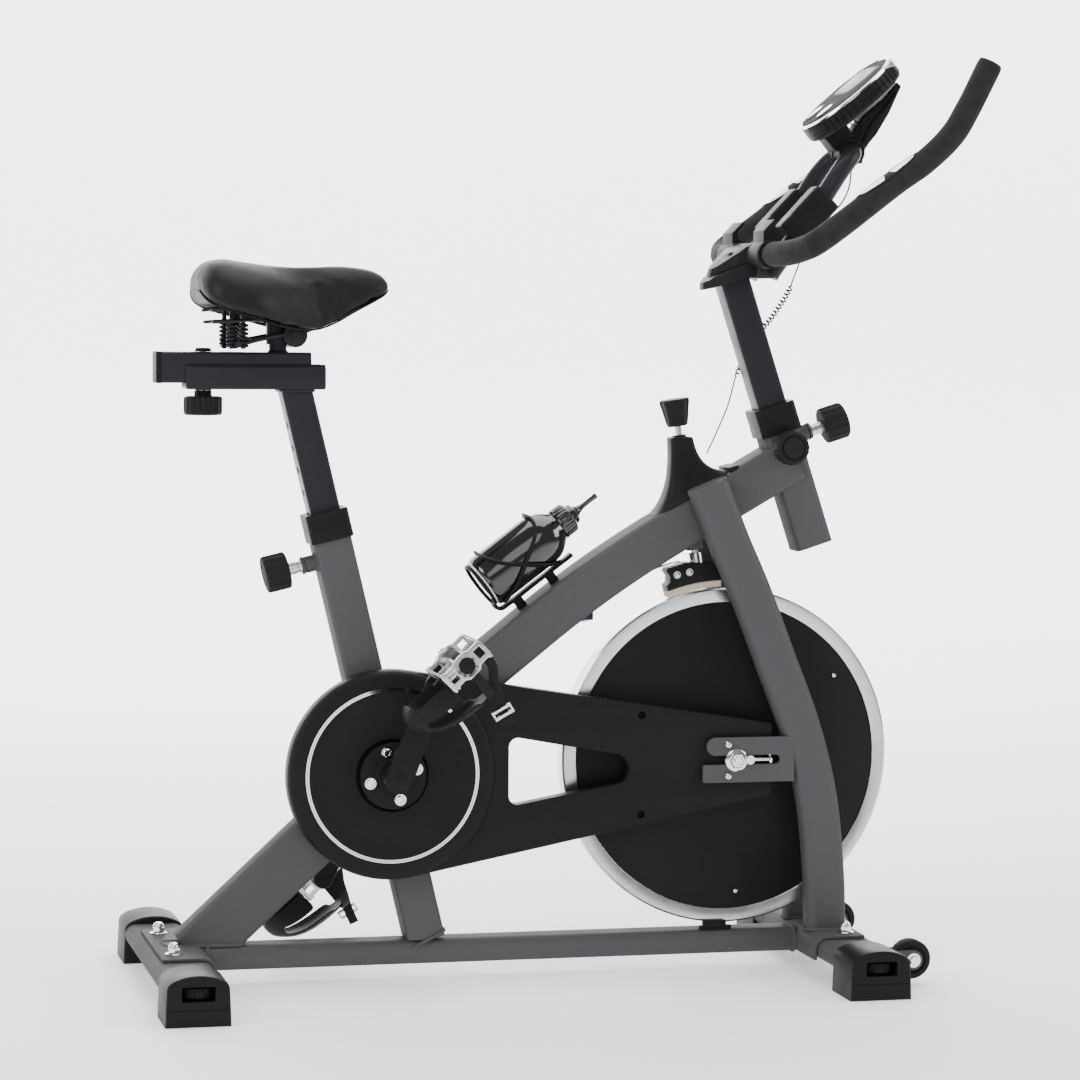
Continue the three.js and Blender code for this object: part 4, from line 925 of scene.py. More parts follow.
def cover_outline():
    """Drum round the crank, running into a tapered arm with rounded front corners."""
    low, high, r = (COVER_FRONT, COVER_LOW), (COVER_FRONT, COVER_HIGH), 6
    start, end = tangent_angle(high, 1), tangent_angle(low, -1) + 360
    return [*arc((low[0] - r, low[1] + r), r, -80, 0, 5), *arc((high[0] - r, high[1] - r), r, 0, 83, 5),
            *arc(CRANK, COVER_RADIUS, start, end, 110)]


def cover_window():
    """Tapered opening in the cover's arm."""
    return [*arc((489, 312), 12, 81, 180, 8), *arc((489, 248), 12, 180, 278, 8), *arc((619, 280), 20, -82, 81, 16)]


def belt_cover():
    """Cover shell, its drum, the bright double ring and its screws."""
    body = plate("belt_cover_shell", cover_outline(), COVER_ARM, COVER_INNER, 2.6, "cover_plastic", FRAME,
                 ("belt_cover",), holes=(cover_window(),), segments=4)
    centre = (CRANK[0], 0, CRANK[1])
    hollow = lathe("belt_cover_hollow", centre, (0, 1, 0), [(0, -62), (110, -62), (110, -32), (0, -32)],
                   "cover_plastic", FRAME, segments=96)
    hub = rod("belt_cover_hub_hole", (CRANK[0], -40, CRANK[1]), (CRANK[0], -20, CRANK[1]), 24, "cover_plastic",
              FRAME)
    axle = rod("belt_cover_axle_hole", (WHEEL[0], -60, WHEEL[1]), (WHEEL[0], -20, WHEEL[1]), 13.5, "cover_plastic",
               FRAME)
    wheel_hub = rod("belt_cover_wheel_hole", (WHEEL[0], -50, WHEEL[1]), (WHEEL[0], -20, WHEEL[1]), 23,
                    "cover_plastic", FRAME)
    holes = [rod(f"belt_cover_screw_hole_{z}", (656, -60, z), (656, -47, z), 5.2, "cover_plastic", FRAME)
             for z in (351, 219)]
    cut(body, hollow, hub, axle, wheel_hub, *holes)
    smooth(body, 30)
    profile = [(46.8, -49), (46.8, -54.6), (48, -55.8), (52, -56.4), (86, -56.4), (93, -57.2), (101, -58.6),
               (107, -59.3), (111.5, -59.6), (118.6, -60), (127, -60), (131.5, -59.2), (134.5, -57.2), (136.2, -54),
               (136.2, -50), (112, -50), (108, -52), (50, -52), (48, -49)]
    lathe("belt_cover_drum", centre, (0, 1, 0), profile, "cover_plastic", FRAME, segments=160)
    for name, inner, outer in (("inner", 110.0, 111.9), ("outer", 112.5, 114.4)):
        lathe(f"cover_ring_{name}", centre, (0, 1, 0),
              [(inner, -59.4), (outer, -59.5), (outer, -60.25), (inner, -60.15)], "chrome", FRAME, segments=160)
    for z in (351, 219):
        dome_screw(f"belt_cover_screw_{z}", (656, -47.4, z), (0, -1, 0), 3.6, "black_plastic", FRAME)


def belt_path(grow):
    """Outline of the belt round both pulleys, grown outwards."""
    big, small = 104 + grow, 28 + grow
    dx, dz = WHEEL[0] - CRANK[0], WHEEL[1] - CRANK[1]
    line = math.degrees(math.atan2(dz, dx))
    spread_angle = math.degrees(math.acos((big - small) / math.hypot(dx, dz)))
    return [*arc(CRANK, big, line + spread_angle, line - spread_angle + 360, 60),
            *arc(WHEEL, small, line - spread_angle, line + spread_angle, 24)]


def drive():
    """Belt, large pulley, crank axle, hub and bearing cup."""
    loop = [(x, -41, z) for x, z in belt_path(2.4)]
    sweep("drive_belt_loop", loop, rounded(10, 4, 1, 2), "rubber", FRAME, ("drive_belt",), closed=True)
    centre = (CRANK[0], 0, CRANK[1])
    lathe("crank_pulley_rim", centre, (0, 1, 0),
          [(88, -47), (104, -47), *[(104 - 1.2 * (i % 2), -46 + i * 0.9) for i in range(12)], (104, -35), (88, -35)],
          "steel", "crankset", ("crank_pulley",), 96)
    lathe("crank_pulley_web", centre, (0, 1, 0), [(10, -45), (89, -44), (89, -38), (10, -37)], "black_plastic",
          "crankset", segments=96)
    lathe("crank_axle_bar", centre, (0, 1, 0), [(0, -92), (9.2, -92), (10, -90), (10, 90), (9.2, 92), (0, 92)],
          "steel", "crankset", segments=40)
    lathe("crank_hub", centre, (0, 1, 0), [(10, -46), (30, -46), (30, -62), (43.5, -62.2), (43.5, -65), (42.6, -66),
          (24, -66.4), (22, -69), (10, -69)], "black_plastic", "crankset", segments=96)
    for k in range(4):
        angle = math.radians(16 + 90 * k)
        x, z = CRANK[0] + 32 * math.cos(angle), CRANK[1] + 32 * math.sin(angle)
        socket_bolt(f"crank_hub_bolt_{k}", (x, -66, z), (0, -1, 0), 5.6, "crankset")
    cup = [(10.5, 0), (19, 0), (21, 2), (21, 5), (17, 7), (10.5, 7)]
    lathe("bracket_cup_left", (CRANK[0], 27, CRANK[1]), (0, 1, 0), cup, "black_coat", FRAME, segments=48)


def socket_bolt(name, centre, axis, radius, body):
    """Cap screw on a washer, with a hexagon socket."""
    profile = [(0, 0), (radius * 1.35, 0), (radius * 1.35, 1.2), (radius, 1.2), (radius, 4.4), (radius * 0.86, 5.2),
               (radius * 0.52, 5.2), (radius * 0.5, 2.6), (0, 2.6)]
    return lathe(name, centre, axis, profile, "chrome", body, segments=24)


def crank_arm(side, sign):
    """Forged arm: a boss with a dust cap at the axle, tapering to the pedal's eye."""
    up = Vector((math.sin(CRANK_ANGLE), 0, math.cos(CRANK_ANGLE))) * -sign
    eye = (CRANK[0] + up.x * CRANK_LENGTH, CRANK[1] + up.z * CRANK_LENGTH)
    heading = math.degrees(math.atan2(up.z, up.x))
    outline = [*arc(eye, 13.2, heading - 88, heading + 88, 20), *arc(CRANK, 18.5, heading + 100, heading + 260, 28)]
    low, high = (-106, -93) if sign < 0 else (93, 106)
    plate(f"crank_{side}_arm", outline, low, high, 2.8, "black_plastic", "crankset", (f"crank_{side}",), segments=5)
    centre = Vector((CRANK[0], sign * 92, CRANK[1]))
    boss = [(10, -20), (15, -20), (17.5, -14), (18.2, 0), (10, 0)]
    lathe(f"crank_{side}_boss", centre, (0, sign, 0), boss, "black_plastic", "crankset", segments=48)
    cap = [(0, 13.5), (12.6, 13.5), (13.8, 14), (13.8, 14.6), (12.4, 16), (9, 17), (0, 17.4)]
    lathe(f"crank_{side}_cap", centre - Vector((0, sign * 1, 0)), (0, sign, 0), cap, "black_plastic", "crankset",
          segments=48)
    spindle = [(0, 12), (8.5, 12), (8.5, 18), (6.8, 19), (6, 24), (6, 119), (0, 119)]
    lathe(f"pedal_{side}_spindle", (eye[0], sign * 92, eye[1]), (0, sign, 0), spindle, "chrome", "crankset",
          segments=32)
    return eye


PEDAL_TILT = math.radians(134.6)
PEDAL_NEAR, PEDAL_FAR = 118, 216
PEDAL_MIDDLE = (PEDAL_NEAR + PEDAL_FAR) / 2


def pedal_place(eye, sign, x, y, z):
    """Point on a pedal: x towards the toe, y outwards, z up from the tread, as a point on the bike."""
    c, s = math.cos(PEDAL_TILT), math.sin(PEDAL_TILT)
    return eye[0] + x * c + z * s, sign * y, eye[1] - x * s + z * c


def pedal_outline(eye, points):
    """A plate outline laid out in the pedal's own directions."""
    return [pedal_place(eye, 1, x, 0, z)[::2] for x, z in points]


def pedal_block(name, eye, sign, low, high, slot, body, edge=0.8):
    """A block laid out in the pedal's own directions."""
    corners = [(x, y, z) for x in (low[0], high[0]) for y in (low[1], high[1]) for z in (low[2], high[2])]
    faces = [(0, 1, 3, 2), (4, 6, 7, 5), (0, 4, 5, 1), (2, 3, 7, 6), (0, 2, 6, 4), (1, 5, 7, 3)]
    made = piece(name, [pedal_place(eye, sign, *c) for c in corners], faces, slot, body)
    return bevel(made, edge, 2) if edge else made


def pedal(side, sign, eye):
    """Cast cage pedal with end plates, rails, teeth and barrel, then its clip and strap."""
    body = f"pedal_{side}"
    parts = []
    end_plate = [(-33, -9), (-30, -13), (-14, -13), (-9, -16), (9, -16), (14, -13), (27, -13), (29, -16), (31, -13),
                 (33, -16), (34.5, -13), (34.5, 12), (31, 15), (29, 12), (27, 15), (24, 12), (14, 12), (9, 16),
                 (-9, 16), (-14, 12), (-26, 12), (-29, 15), (-31, 12), (-33, 10)]
    hole_front = [(17, -7), (28, -7), (28, 6), (17, 6)]
    hole_back = [(-28, -7), (-17, -7), (-17, 6), (-28, 6)]
    for y in (PEDAL_NEAR, PEDAL_FAR - 5):
        low, high = sorted((sign * y, sign * (y + 5)))
        parts.append(plate(f"pedal_{side}_end_{y}", pedal_outline(eye, end_plate), low, high, 0.9, "alloy", body,
                           (f"pedal_{side}",), holes=(pedal_outline(eye, hole_front), pedal_outline(eye, hole_back))))
    barrel = [(7, 0), (14.5, 0), (14.5, 10), (11, 16), (10, 49), (11, 82), (15, 88), (15, 98), (7, 98)]
    parts.append(lathe(f"pedal_{side}_barrel", (eye[0], sign * PEDAL_NEAR, eye[1]), (0, sign, 0), barrel, "alloy",
                       body, segments=40))
    for edge_x in (30.5, -33):
        for z in (-12.5, 9.5):
            parts.append(pedal_block(f"pedal_{side}_rail_{edge_x}_{z}", eye, sign, (edge_x, PEDAL_NEAR + 3, z),
                                     (edge_x + 3.4, PEDAL_FAR - 3, z + 3), "alloy", body, 0.7))
        for k in range(5):
            y = PEDAL_NEAR + 10 + k * 18.6
            parts.append(pedal_block(f"pedal_{side}_stay_{edge_x}_{k}", eye, sign, (edge_x + 0.4, y, -12),
                                     (edge_x + 3, y + 3.2, 12), "alloy", body, 0.5))
            for z, tip in ((12.2, 15.2), (-15.2, -12.2)):
                parts.append(pedal_block(f"pedal_{side}_tooth_{edge_x}_{k}_{z}", eye, sign,
                                         (edge_x + 0.5, y + 7, z), (edge_x + 2.9, y + 12, tip), "alloy", body, 0.6))
    for k, y in enumerate((PEDAL_NEAR + 26, PEDAL_NEAR + 68)):
        parts.append(pedal_block(f"pedal_{side}_rib_{k}", eye, sign, (-31, y, -5), (31, y + 4, 5), "alloy", body,
                                 0.8))
    joined(f"pedal_{side}_cage", parts)
    cap = [(0, 0), (9.6, 0), (10.6, 1), (10.6, 3.4), (8.6, 4.6), (0, 5)]
    lathe(f"pedal_{side}_dust_cap", (eye[0], sign * (PEDAL_FAR - 1.5), eye[1]), (0, sign, 0), cap, "black_plastic",
          body, segments=40)
    toe_clip(side, sign, eye, body)
    strap(side, sign, eye, body)


CLIP_STATIONS = (  # distance to the toe, half width, top, foot
    (2, 30, 57, 50), (10, 33, 59, 30), (20, 36, 59.5, 0), (34, 37, 58.5, -11), (46, 38, 56.5, -11.5),
    (58, 38, 53.5, -12), (68, 37, 50, -12), (78, 34, 45, -12), (87, 28.5, 38.5, -10.5), (94.5, 21.5, 31, -7),
    (100, 14, 24, -1.5), (103, 7, 17.5, 4),
)


def toe_clip(side, sign, eye, body):
    """Moulded toe cage: a nose, a tongue back over the shoe and an arm down each side."""
    around = 24
    vertices, faces = [], []
    for x, half, top, foot in CLIP_STATIONS:
        for j in range(around):
            t = 2 * math.pi * j / around
            c, s = math.cos(t), math.sin(t)
            across = half * math.copysign(abs(c) ** 0.72, c)
            middle = foot + (top - foot) * 0.36
            rise = (top - middle) * abs(s) ** 0.8 if s > 0 else -(middle - foot) * abs(s) ** 0.45
            vertices.append(pedal_place(eye, sign, x, PEDAL_MIDDLE + across, middle + rise))
    last = len(CLIP_STATIONS) - 1
    for i in range(last):
        x = CLIP_STATIONS[i][0]
        for j in range(around):
            tongue = 4 <= j <= 7 if x < 20 else 3 <= j <= 8
            arm = j in (0, 11, 12, 23) and x >= 34
            floor_lip = 13 <= j <= 22 and x >= 87
            nose = j <= 11 and x >= 87
            if tongue or arm or floor_lip or nose:
                a, b = i * around + j, i * around + (j + 1) % around
                faces.append((a, b, b + around, a + around))
    tip = last * around
    faces.append(tuple(tip + j for j in range(around)))
    made = piece(f"toe_clip_{side}_cage", vertices, faces, "black_plastic", body, (f"toe_clip_{side}",), 60)
    thick = made.modifiers.new("thick", "SOLIDIFY")
    thick.thickness = 0.003
    thick.offset = -1
    round_off = made.modifiers.new("round", "SUBSURF")
    round_off.levels = 2
    round_off.render_levels = 2
    apply_modifiers(made)
    smooth(made, 60)
    for k, y in enumerate((PEDAL_MIDDLE - 25, PEDAL_MIDDLE + 21)):
        pedal_block(f"toe_clip_{side}_foot_{k}", eye, sign, (31, y, -9), (46, y + 5, -5.5), "black_plastic", body,
                    0.8)
        a, b = pedal_place(eye, sign, 33.6, y + 2.5, 0), pedal_place(eye, sign, 38, y + 2.5, 0)
        dome_screw(f"toe_clip_{side}_screw_{k}", a, Vector(b) - Vector(a), 3.6, "chrome", body)
    pedal_block(f"toe_clip_{side}_mount", eye, sign, (34.2, PEDAL_MIDDLE - 34, -11), (37, PEDAL_MIDDLE + 34, 7),
                "black_plastic", body, 1)


def strap(side, sign, eye, body):
    """Nylon strap through the pedal and over the tongue, with a sprung metal buckle on its tail."""
    inner, outer = PEDAL_NEAR + 6, PEDAL_FAR - 6.5
    loop = [(0, outer, -4), (1, outer - 1, 14), (2, outer - 6, 36), (4, PEDAL_MIDDLE + 24, 56),
            (5, PEDAL_MIDDLE, 61.5),
            (3, PEDAL_MIDDLE - 26, 58), (-5, inner + 1, 40), (-9, inner - 3, 18), (-6, inner, -2),
            (-3, inner + 8, -13.5), (0, PEDAL_MIDDLE, -16), (0, outer - 8, -13.5)]
    path = [pedal_place(eye, sign, *p) for p in loop]
    path = curve_through([*path, path[0], path[1]], 8)[:-8]
    across = Vector(pedal_place(eye, sign, 1, 0, 0)) - Vector(pedal_place(eye, sign, 0, 0, 0))
    sweep(f"pedal_strap_{side}", path, rounded(12.5, 1.7, 0.7, 2), "rubber", body, across=across, closed=True)
    free = PEDAL_MIDDLE + 26
    tail = [(-23, free, -9), (-26, free + 2, 8), (-24, free + 2, 28), (-13, free, 43), (-4, free - 1, 60),
            (3, free - 2, 72), (8, free - 2, 83), (13, free - 1, 97)]
    tail_path = curve_through([pedal_place(eye, sign, *p) for p in tail], 8)
    sweep(f"pedal_strap_tail_{side}", tail_path, rounded(12.5, 1.7, 0.7, 2), "rubber", body, across=across)
    frame_points = [(-5, 79), (19, 72), (21, 80.5), (-3, 87.5)]
    corners = [pedal_place(eye, sign, x, PEDAL_MIDDLE + 26, z) for x, z in frame_points]
    sweep(f"buckle_{side}_frame", [*resample([*corners, corners[0]], 1.0)][:-1], circle(1.3, 10), "chrome", body,
          closed=True, across=(0, 1, 0))
    for k, z in enumerate((79, 87.5)):
        a = pedal_place(eye, sign, -6 + 2 * k, PEDAL_MIDDLE + 27.5, z + 0.3)
        b = pedal_place(eye, sign, 20 + 2 * k, PEDAL_MIDDLE + 27.5, z - 7.3)
        rod(f"buckle_{side}_roller_{k}", a, b, 2.3, "chrome", body, 20)


def cranks():
    """Both cranks, each with its pedal."""
    for side, sign in (("right", -1), ("left", 1)):
        pedal(side, sign, crank_arm(side, sign))


# ---------------------------------------------------------------- flywheel
def flywheel():
    centre = (WHEEL[0], 0, WHEEL[1])
    rim = [(206.5, -12.4), (206.5, -13.6), (207.3, -14), (222.6, -14), (225, -11.8), (225, 11.8), (222.6, 14),
           (207.3, 14), (206.5, 13.6), (206.5, 12.4), (206, 4), (24, 4), (24, 24), (10.9, 24), (10.9, -47), (28, -47),
           (28, -35), (20, -35), (20, -4), (206, -4)]
    lathe("flywheel_rim", centre, (0, 1, 0), rim, "steel", "flywheel", ("flywheel",), 192)
    for side, sign in (("right", -1), ("left", 1)):
        disc = [(26, 11.2), (26, 12.9), (27, 13.6), (203.6, 13.6), (205.6, 12.6), (205.6, 11.2)]
        lathe(f"flywheel_disc_{side}_face", centre, (0, sign, 0), disc, "black_plastic", "flywheel",
              (f"flywheel_disc_{side}",), 160)
        for k in range(3):
            angle = math.radians(35 + 120 * k)
            place_at = (WHEEL[0] + 184 * math.cos(angle), sign * 13.3, WHEEL[1] + 184 * math.sin(angle))
            lathe(f"disc_screw_well_{side}_{k}", place_at, (0, sign, 0), [(3.4, 0), (6.2, 0), (6.2, 0.8), (3.4, 0.4)],
                  "black_plastic", "flywheel", segments=28)
            dome_screw(f"disc_screw_{side}_{k}", place_at, (0, sign, 0), 3.3, "chrome", "flywheel")


def flywheel_axle():
    lathe("flywheel_axle_bar", (WHEEL[0], 0, WHEEL[1]), (0, 1, 0),
          [(0, -80), (4.6, -80), (5.6, -79), (5.6, -57.7), (10, -57.7), (10, 57.7), (5.6, 57.7), (5.6, 79), (4.6, 80),
           (0, 80)], "chrome", FRAME, ("flywheel_axle",), 32)
    for side, sign in (("right", -1), ("left", 1)):
        centre = Vector((WHEEL[0], sign * 64.4, WHEEL[1]))
        out = Vector((0, sign, 0))
        lathe(f"axle_flange_{side}", centre, out, [(5.6, 0), (15, 0), (15, 1.4), (13, 2.6), (5.6, 2.6)], "chrome",
              FRAME, segments=48)
        sweep(f"axle_nut_{side}", [centre + out * 2.4, centre + out * 9, centre + out * 10.5], circle(11, 6),
              "chrome", FRAME, across=(1, 0, 0), scale=[1, 1, 0.88])
        eye = centre + Vector((0, -sign * 1.2, 0))
        lathe(f"tensioner_eye_{side}", eye + Vector((19, 0, 0)), out, [(0, 0), (6, 0), (6, 4.4), (0, 4.4)], "chrome",
              FRAME, segments=28)
        hex_bolt(f"tensioner_nut_{side}", (WHEEL[0] + 45, sign * 61, WHEEL[1]), (1, 0, 0), 6.2, "chrome", FRAME)


belt_cover()
drive()
cranks()
flywheel()
flywheel_axle()


# ---------------------------------------------------------------- knobs
def fluted(name, centre, axis, profile, flutes, slot, body, stands_for=(), start=None):
    """Turned piece whose radius swells and dips round the axis; profile is (radius, along, flute depth)."""
    segments = flutes * 12
    axis = Vector(axis).normalized()
    u = Vector(start).normalized() if start else axis.orthogonal().normalized()
    v = axis.cross(u)
    centre = Vector(centre)
    vertices, faces = [], []
    for radius, along, depth in profile:
        for i in range(segments):
            angle = 2 * math.pi * i / segments
            wave = abs(math.sin(flutes * angle / 2)) ** 5
            r = radius - depth * wave
            vertices.append(tuple(centre + axis * along + (u * math.cos(angle) + v * math.sin(angle)) * r))
    for k in range(len(profile) - 1):
        for i in range(segments):
            j = (i + 1) % segments
            a = k * segments
            faces.append((a + i, a + j, a + segments + j, a + segments + i))
    faces.append(tuple(range(segments)))
    faces.append(tuple((len(profile) - 1) * segments + i for i in range(segments)))
    return piece(name, vertices, faces, slot, body, stands_for, 34)


def knob_profile(radius, height, flute=1.7):
    return [(radius * 0.62, 0, 0), (radius * 0.86, 0, 0), (radius * 0.95, 0.8, flute * 0.4), (radius, 2.6, flute),
            (radius, height - 4, flute), (radius * 0.97, height - 1.6, flute * 0.6),
            (radius * 0.9, height - 0.3, 0.2),
            (radius * 0.8, height, 0), (radius * 0.62, height, 0), (radius * 0.58, height - 1, 0),
            (radius * 0.5, height - 1, 0), (radius * 0.46, height, 0), (radius * 0.1, height + 0.2, 0)]


def pin_knob(name, axis_line, across, along, body, node_name):
    """Spring pin: fluted knob on a ribbed sleeve and a bright stem."""
    foot = Vector(on_axis(axis_line, across, 0, along))
    outward = Vector(on_axis(axis_line, across * 2, 0, along)) - foot
    outward.normalize()
    fluted(name, foot + outward * 22, outward, knob_profile(24.4, 32), 14, "rubber", body, (node_name,))
    sleeve = [(5, 0.4), (8.6, 0.4), (8.6, 8), (7.6, 8.6), (7.6, 10), (8.6, 10.6), (8.4, 22.6), (5, 22.6)]
    lathe(name + "_sleeve", foot, outward, sleeve, "steel", body, segments=48)
    lathe(name + "_stem", foot - outward * 16, outward, [(0, 0), (3.6, 0), (4.7, 2), (4.7, 40), (0, 40)], "chrome",
          body, segments=32)
    lathe(name + "_boss_nut", foot, outward, [(9, 0.3), (12.4, 0.3), (12.4, 3), (11.4, 4), (9, 4)], "frame_paint",
          FRAME,
          segments=6)


# ---------------------------------------------------------------- brake
BRAKE = (713, 748)
BRAKE_DOWN = Vector((WHEEL[0] - BRAKE[0], 0, WHEEL[1] - BRAKE[1])).normalized()


def brake_point(distance):
    return Vector((BRAKE[0], 0, BRAKE[1])) + BRAKE_DOWN * distance


def bezier(points, t):
    work = [Vector(p) for p in points]
    while len(work) > 1:
        work = [a.lerp(b, t) for a, b in zip(work, work[1:])]
    return work[0]


COVER_REAR = ((680, 612), (703, 636), (706, 672), (703, 714))
COVER_NOSE = ((792, 673), (752, 668), (741, 690), (735, 715))


def brake_cover():
    """Moulded cover that flares from the brake shaft down over the main tube."""
    levels, around = 26, 64
    vertices, faces = [], []
    for k in range(levels + 1):
        t = k / levels
        rear, nose = bezier(COVER_REAR, t), bezier(COVER_NOSE, t)
        half = 16.5 + 14 * (1 - t) ** 2.2
        for i in range(around):
            angle = 2 * math.pi * i / around
            c, s = math.cos(angle), math.sin(angle)
            u = 0.5 + 0.5 * math.copysign(abs(c) ** 0.5, c)
            ridge = 0.05 * math.exp(-((u - 0.3) / 0.05) ** 2) - 0.1 * math.exp(-((u - 0.58) / 0.16) ** 2)
            across = half * math.copysign(abs(s) ** 0.5, s) * (1 + ridge * (1 - t * 0.6))
            spot = rear.lerp(nose, u)
            vertices.append((spot.x, across, spot.y))
    for k in range(levels):
        for i in range(around):
            j = (i + 1) % around
            faces.append((k * around + i, k * around + j, (k + 1) * around + j, (k + 1) * around + i))
    top = len(vertices)
    for inset, rise in ((0.88, 1.6), (0.7, 2)):
        centre = Vector((719, 0, 714.5))
        for i in range(around):
            spot = Vector(vertices[levels * around + i])
            vertices.append(tuple(centre.lerp(spot, inset) + Vector((0, 0, rise))))
    for k in range(2):
        a, b = (levels * around if k == 0 else top), (top if k == 0 else top + around)
        for i in range(around):
            j = (i + 1) % around
            faces.append((a + i, a + j, b + j, b + i))
    faces.append(tuple(top + around + i for i in range(around)))
    faces.append(tuple(range(around)))
    piece("brake_cover_shell", vertices, faces, "black_plastic", FRAME, ("brake_cover",), 50)
    lip = [bezier(COVER_NOSE, t / 40) for t in range(0, 7)]
    plate("brake_cover_lip",
          [(lip[0].x - 9, lip[0].y - 8), (lip[0].x + 1, lip[0].y - 5), (lip[0].x + 1.5, lip[0].y + 7),
          (lip[0].x - 12, lip[0].y + 3)], -27, 27, 1.6, "black_plastic", FRAME)


def brake():
    brake_cover()
    lathe("brake_shaft_bush", brake_point(31), -BRAKE_DOWN, [(5, -3), (9.5, -3), (9.5, 0.5), (8.5, 1.4), (5, 1.4)],
          "black_plastic", FRAME, segments=32)
    profile = [(6, -17.5, 0), (12.4, -17.5, 0), (13.6, -16.4, 0.2), (15.4, -10, 1.2), (18.6, 8, 1.7), (20, 13.4, 1.8),
               (20, 16.6, 1.4), (18.8, 18.4, 0.6), (16, 19, 0), (3, 18.6, 0)]
    fluted("brake_knob_grip", brake_point(0), -BRAKE_DOWN, profile, 6, "black_plastic", "brake_knob", ("brake_knob",))
    lathe("brake_knob_shaft", brake_point(12), BRAKE_DOWN, [(0, 0), (4.5, 0), (4.5, 208), (0, 209)], "steel",
          "brake_knob", segments=32)
    lathe("brake_knob_collar", brake_point(14), BRAKE_DOWN, [(4, 0), (7.4, 0), (7.4, 3.4), (4, 3.4)], "chrome",
          "brake_knob", segments=6)
    sleeve = sweep("brake_guide_tube", [brake_point(130), brake_point(184)], rounded(21, 21, 4, 5), "frame_paint",
                   FRAME)
    bore = rod("brake_guide_bore", brake_point(170), brake_point(190), 6, "frame_paint", FRAME)
    cut(sleeve, bore)
    carrier = [*arc(WHEEL, 236.1, 110.2, 92, 20), (775, 549), (746, 549), (724, 549), (714, 545), (701, 541.5),
               (699, 537), (704, 531), (704, 523), (699, 518)]
    body = plate("brake_pad_carrier", carrier, -15, 15, 1.6, "black_plastic", "brake_shoe", ("pad_carrier",))
    socket = rod("brake_carrier_socket", brake_point(180), brake_point(226), 5.4, "black_plastic", "brake_shoe")
    cut(body, socket)
    lathe("brake_carrier_boss", brake_point(188), BRAKE_DOWN, [(5.2, 0), (8.4, 0), (9, 1), (9, 28), (5.2, 28)],
          "steel",
          "brake_shoe", segments=40)
    for k, (x, z) in enumerate(((713, 533), (730, 536.5))):
        for sign in (-1, 1):
            lathe(f"brake_screw_washer_{k}_{sign}", (x, sign * 14.9, z), (0, sign, 0),
                  [(0, 0), (4.9, 0), (4.9, 0.9), (0, 0.9)],
                  "chrome", "brake_shoe", segments=28)
            dome_screw(f"brake_screw_{k}_{sign}", (x, sign * 15.7, z), (0, sign, 0), 3.4, "chrome", "brake_shoe")
    felt = [*arc(WHEEL, 226.8, 110.5, 92, 24), *arc(WHEEL, 235.9, 92, 110.5, 24)]
    plate("brake_felt_pad", felt, -13, 13, 1.1, "felt", "brake_shoe", ("brake_pad",))
    line = [(718, 551.2), (700, 546.5), (663, 532.5), (626, 508.6), (597, 487), (586, 479.5)]
    path = curve_through([(x, 0, z) for x, z in line], 10)
    sweep("leaf_spring_blade", path, rounded(24, 1.6, 0.7, 3), "steel", FRAME, ("leaf_spring",))
    block("leaf_spring_clip", (581, -14, 474), (599, 14, 486), 1.6, "black_coat", FRAME)
    hex_bolt("leaf_spring_bolt", (592, 0, 475), (0.5, 0, -0.86), 5, "chrome", FRAME)


# ---------------------------------------------------------------- seat
SADDLE_STATIONS = (  # x, half width, top, skirt
    (66, 52, 912, 901), (71, 71, 927, 892), (82, 88, 940, 884), (100, 97, 945, 877), (125, 97, 942, 870),
    (150, 89, 939, 863), (175, 73, 937, 856), (200, 55, 936, 853), (225, 43, 937, 853), (250, 36, 938, 862),
    (275, 32, 938, 876), (300, 28, 935, 889), (318, 22, 927, 897), (327, 12, 915, 903),
)


def post_holes(obj, axis, first, last, step, face):
    tools = []
    along = first
    while along <= last:
        a, b = on_axis(axis, face * 12, 0, along), on_axis(axis, face * 26, 0, along)
        tools.append(rod(f"hole_tool_{along}", a, b, 5.2, "black_coat", FRAME, 20))
        along += step
    cut(obj, *tools)


def seat_post():
    path = [on_axis(SEAT_AXIS, 0, 0, 190), on_axis(SEAT_AXIS, 0, 0, 524)]
    post = sweep("seat_post_tube", path, rounded(40, 40, 4.5, 5), "black_coat", SEAT, ("seat_post",))
    above = block("post_cut", (100, -40, 777.8), (300, 40, 900), 0, "black_coat", SEAT)
    cut(post, above)
    post_holes(post, SEAT_AXIS, 200, 470, 30, -1)
    smooth(post, 30)
    bead = [on_axis(SEAT_AXIS, sx * 20.5, sy * 20.5, 0) for sx, sy in ((1, 1), (-1, 1), (-1, -1), (1, -1))]
    tilt = math.radians(SEAT_AXIS[2])
    loop = []
    for x, y, z in bead:
        along = (777 - z) / math.cos(tilt)
        loop.append((x - along * math.sin(tilt), y, 777))
    loop = resample([*loop, loop[0]], 2.2)[:-1]
    scale = [1 + 0.16 * math.sin(i * 2.1) for i in range(len(loop))]
    sweep("seat_post_weld", loop, circle(2.3, 8), "black_coat", SEAT, closed=True, scale=scale, across=(0, 0, 1))


def collar(name, axis, top, node_name):
    """Plastic bush that caps the tube and guides the square post."""
    outer = rounded(57, 57, 7, 6)
    points = [on_axis(axis, 0, 0, top + h) for h in (-18, -17, -1.5, -1.4, 0.6, 0.7, 18.4, 20)]
    scale = [0.985, 1, 1, 0.985, 0.985, 1, 1, 0.97]
    made = sweep(name, points, outer, "black_plastic", FRAME, (node_name,), scale=scale)
    inside = sweep(name + "_bore", [on_axis(axis, 0, 0, top - 30), on_axis(axis, 0, 0, top + 30)],
                   rounded(41, 41, 4, 5), "black_plastic", FRAME)
    lower = sweep(name + "_seat", [on_axis(axis, 0, 0, top - 30), on_axis(axis, 0, 0, top + 0.2)],
                  rounded(50.6, 50.6, 6, 5), "black_plastic", FRAME)
    return cut(made, inside, lower)


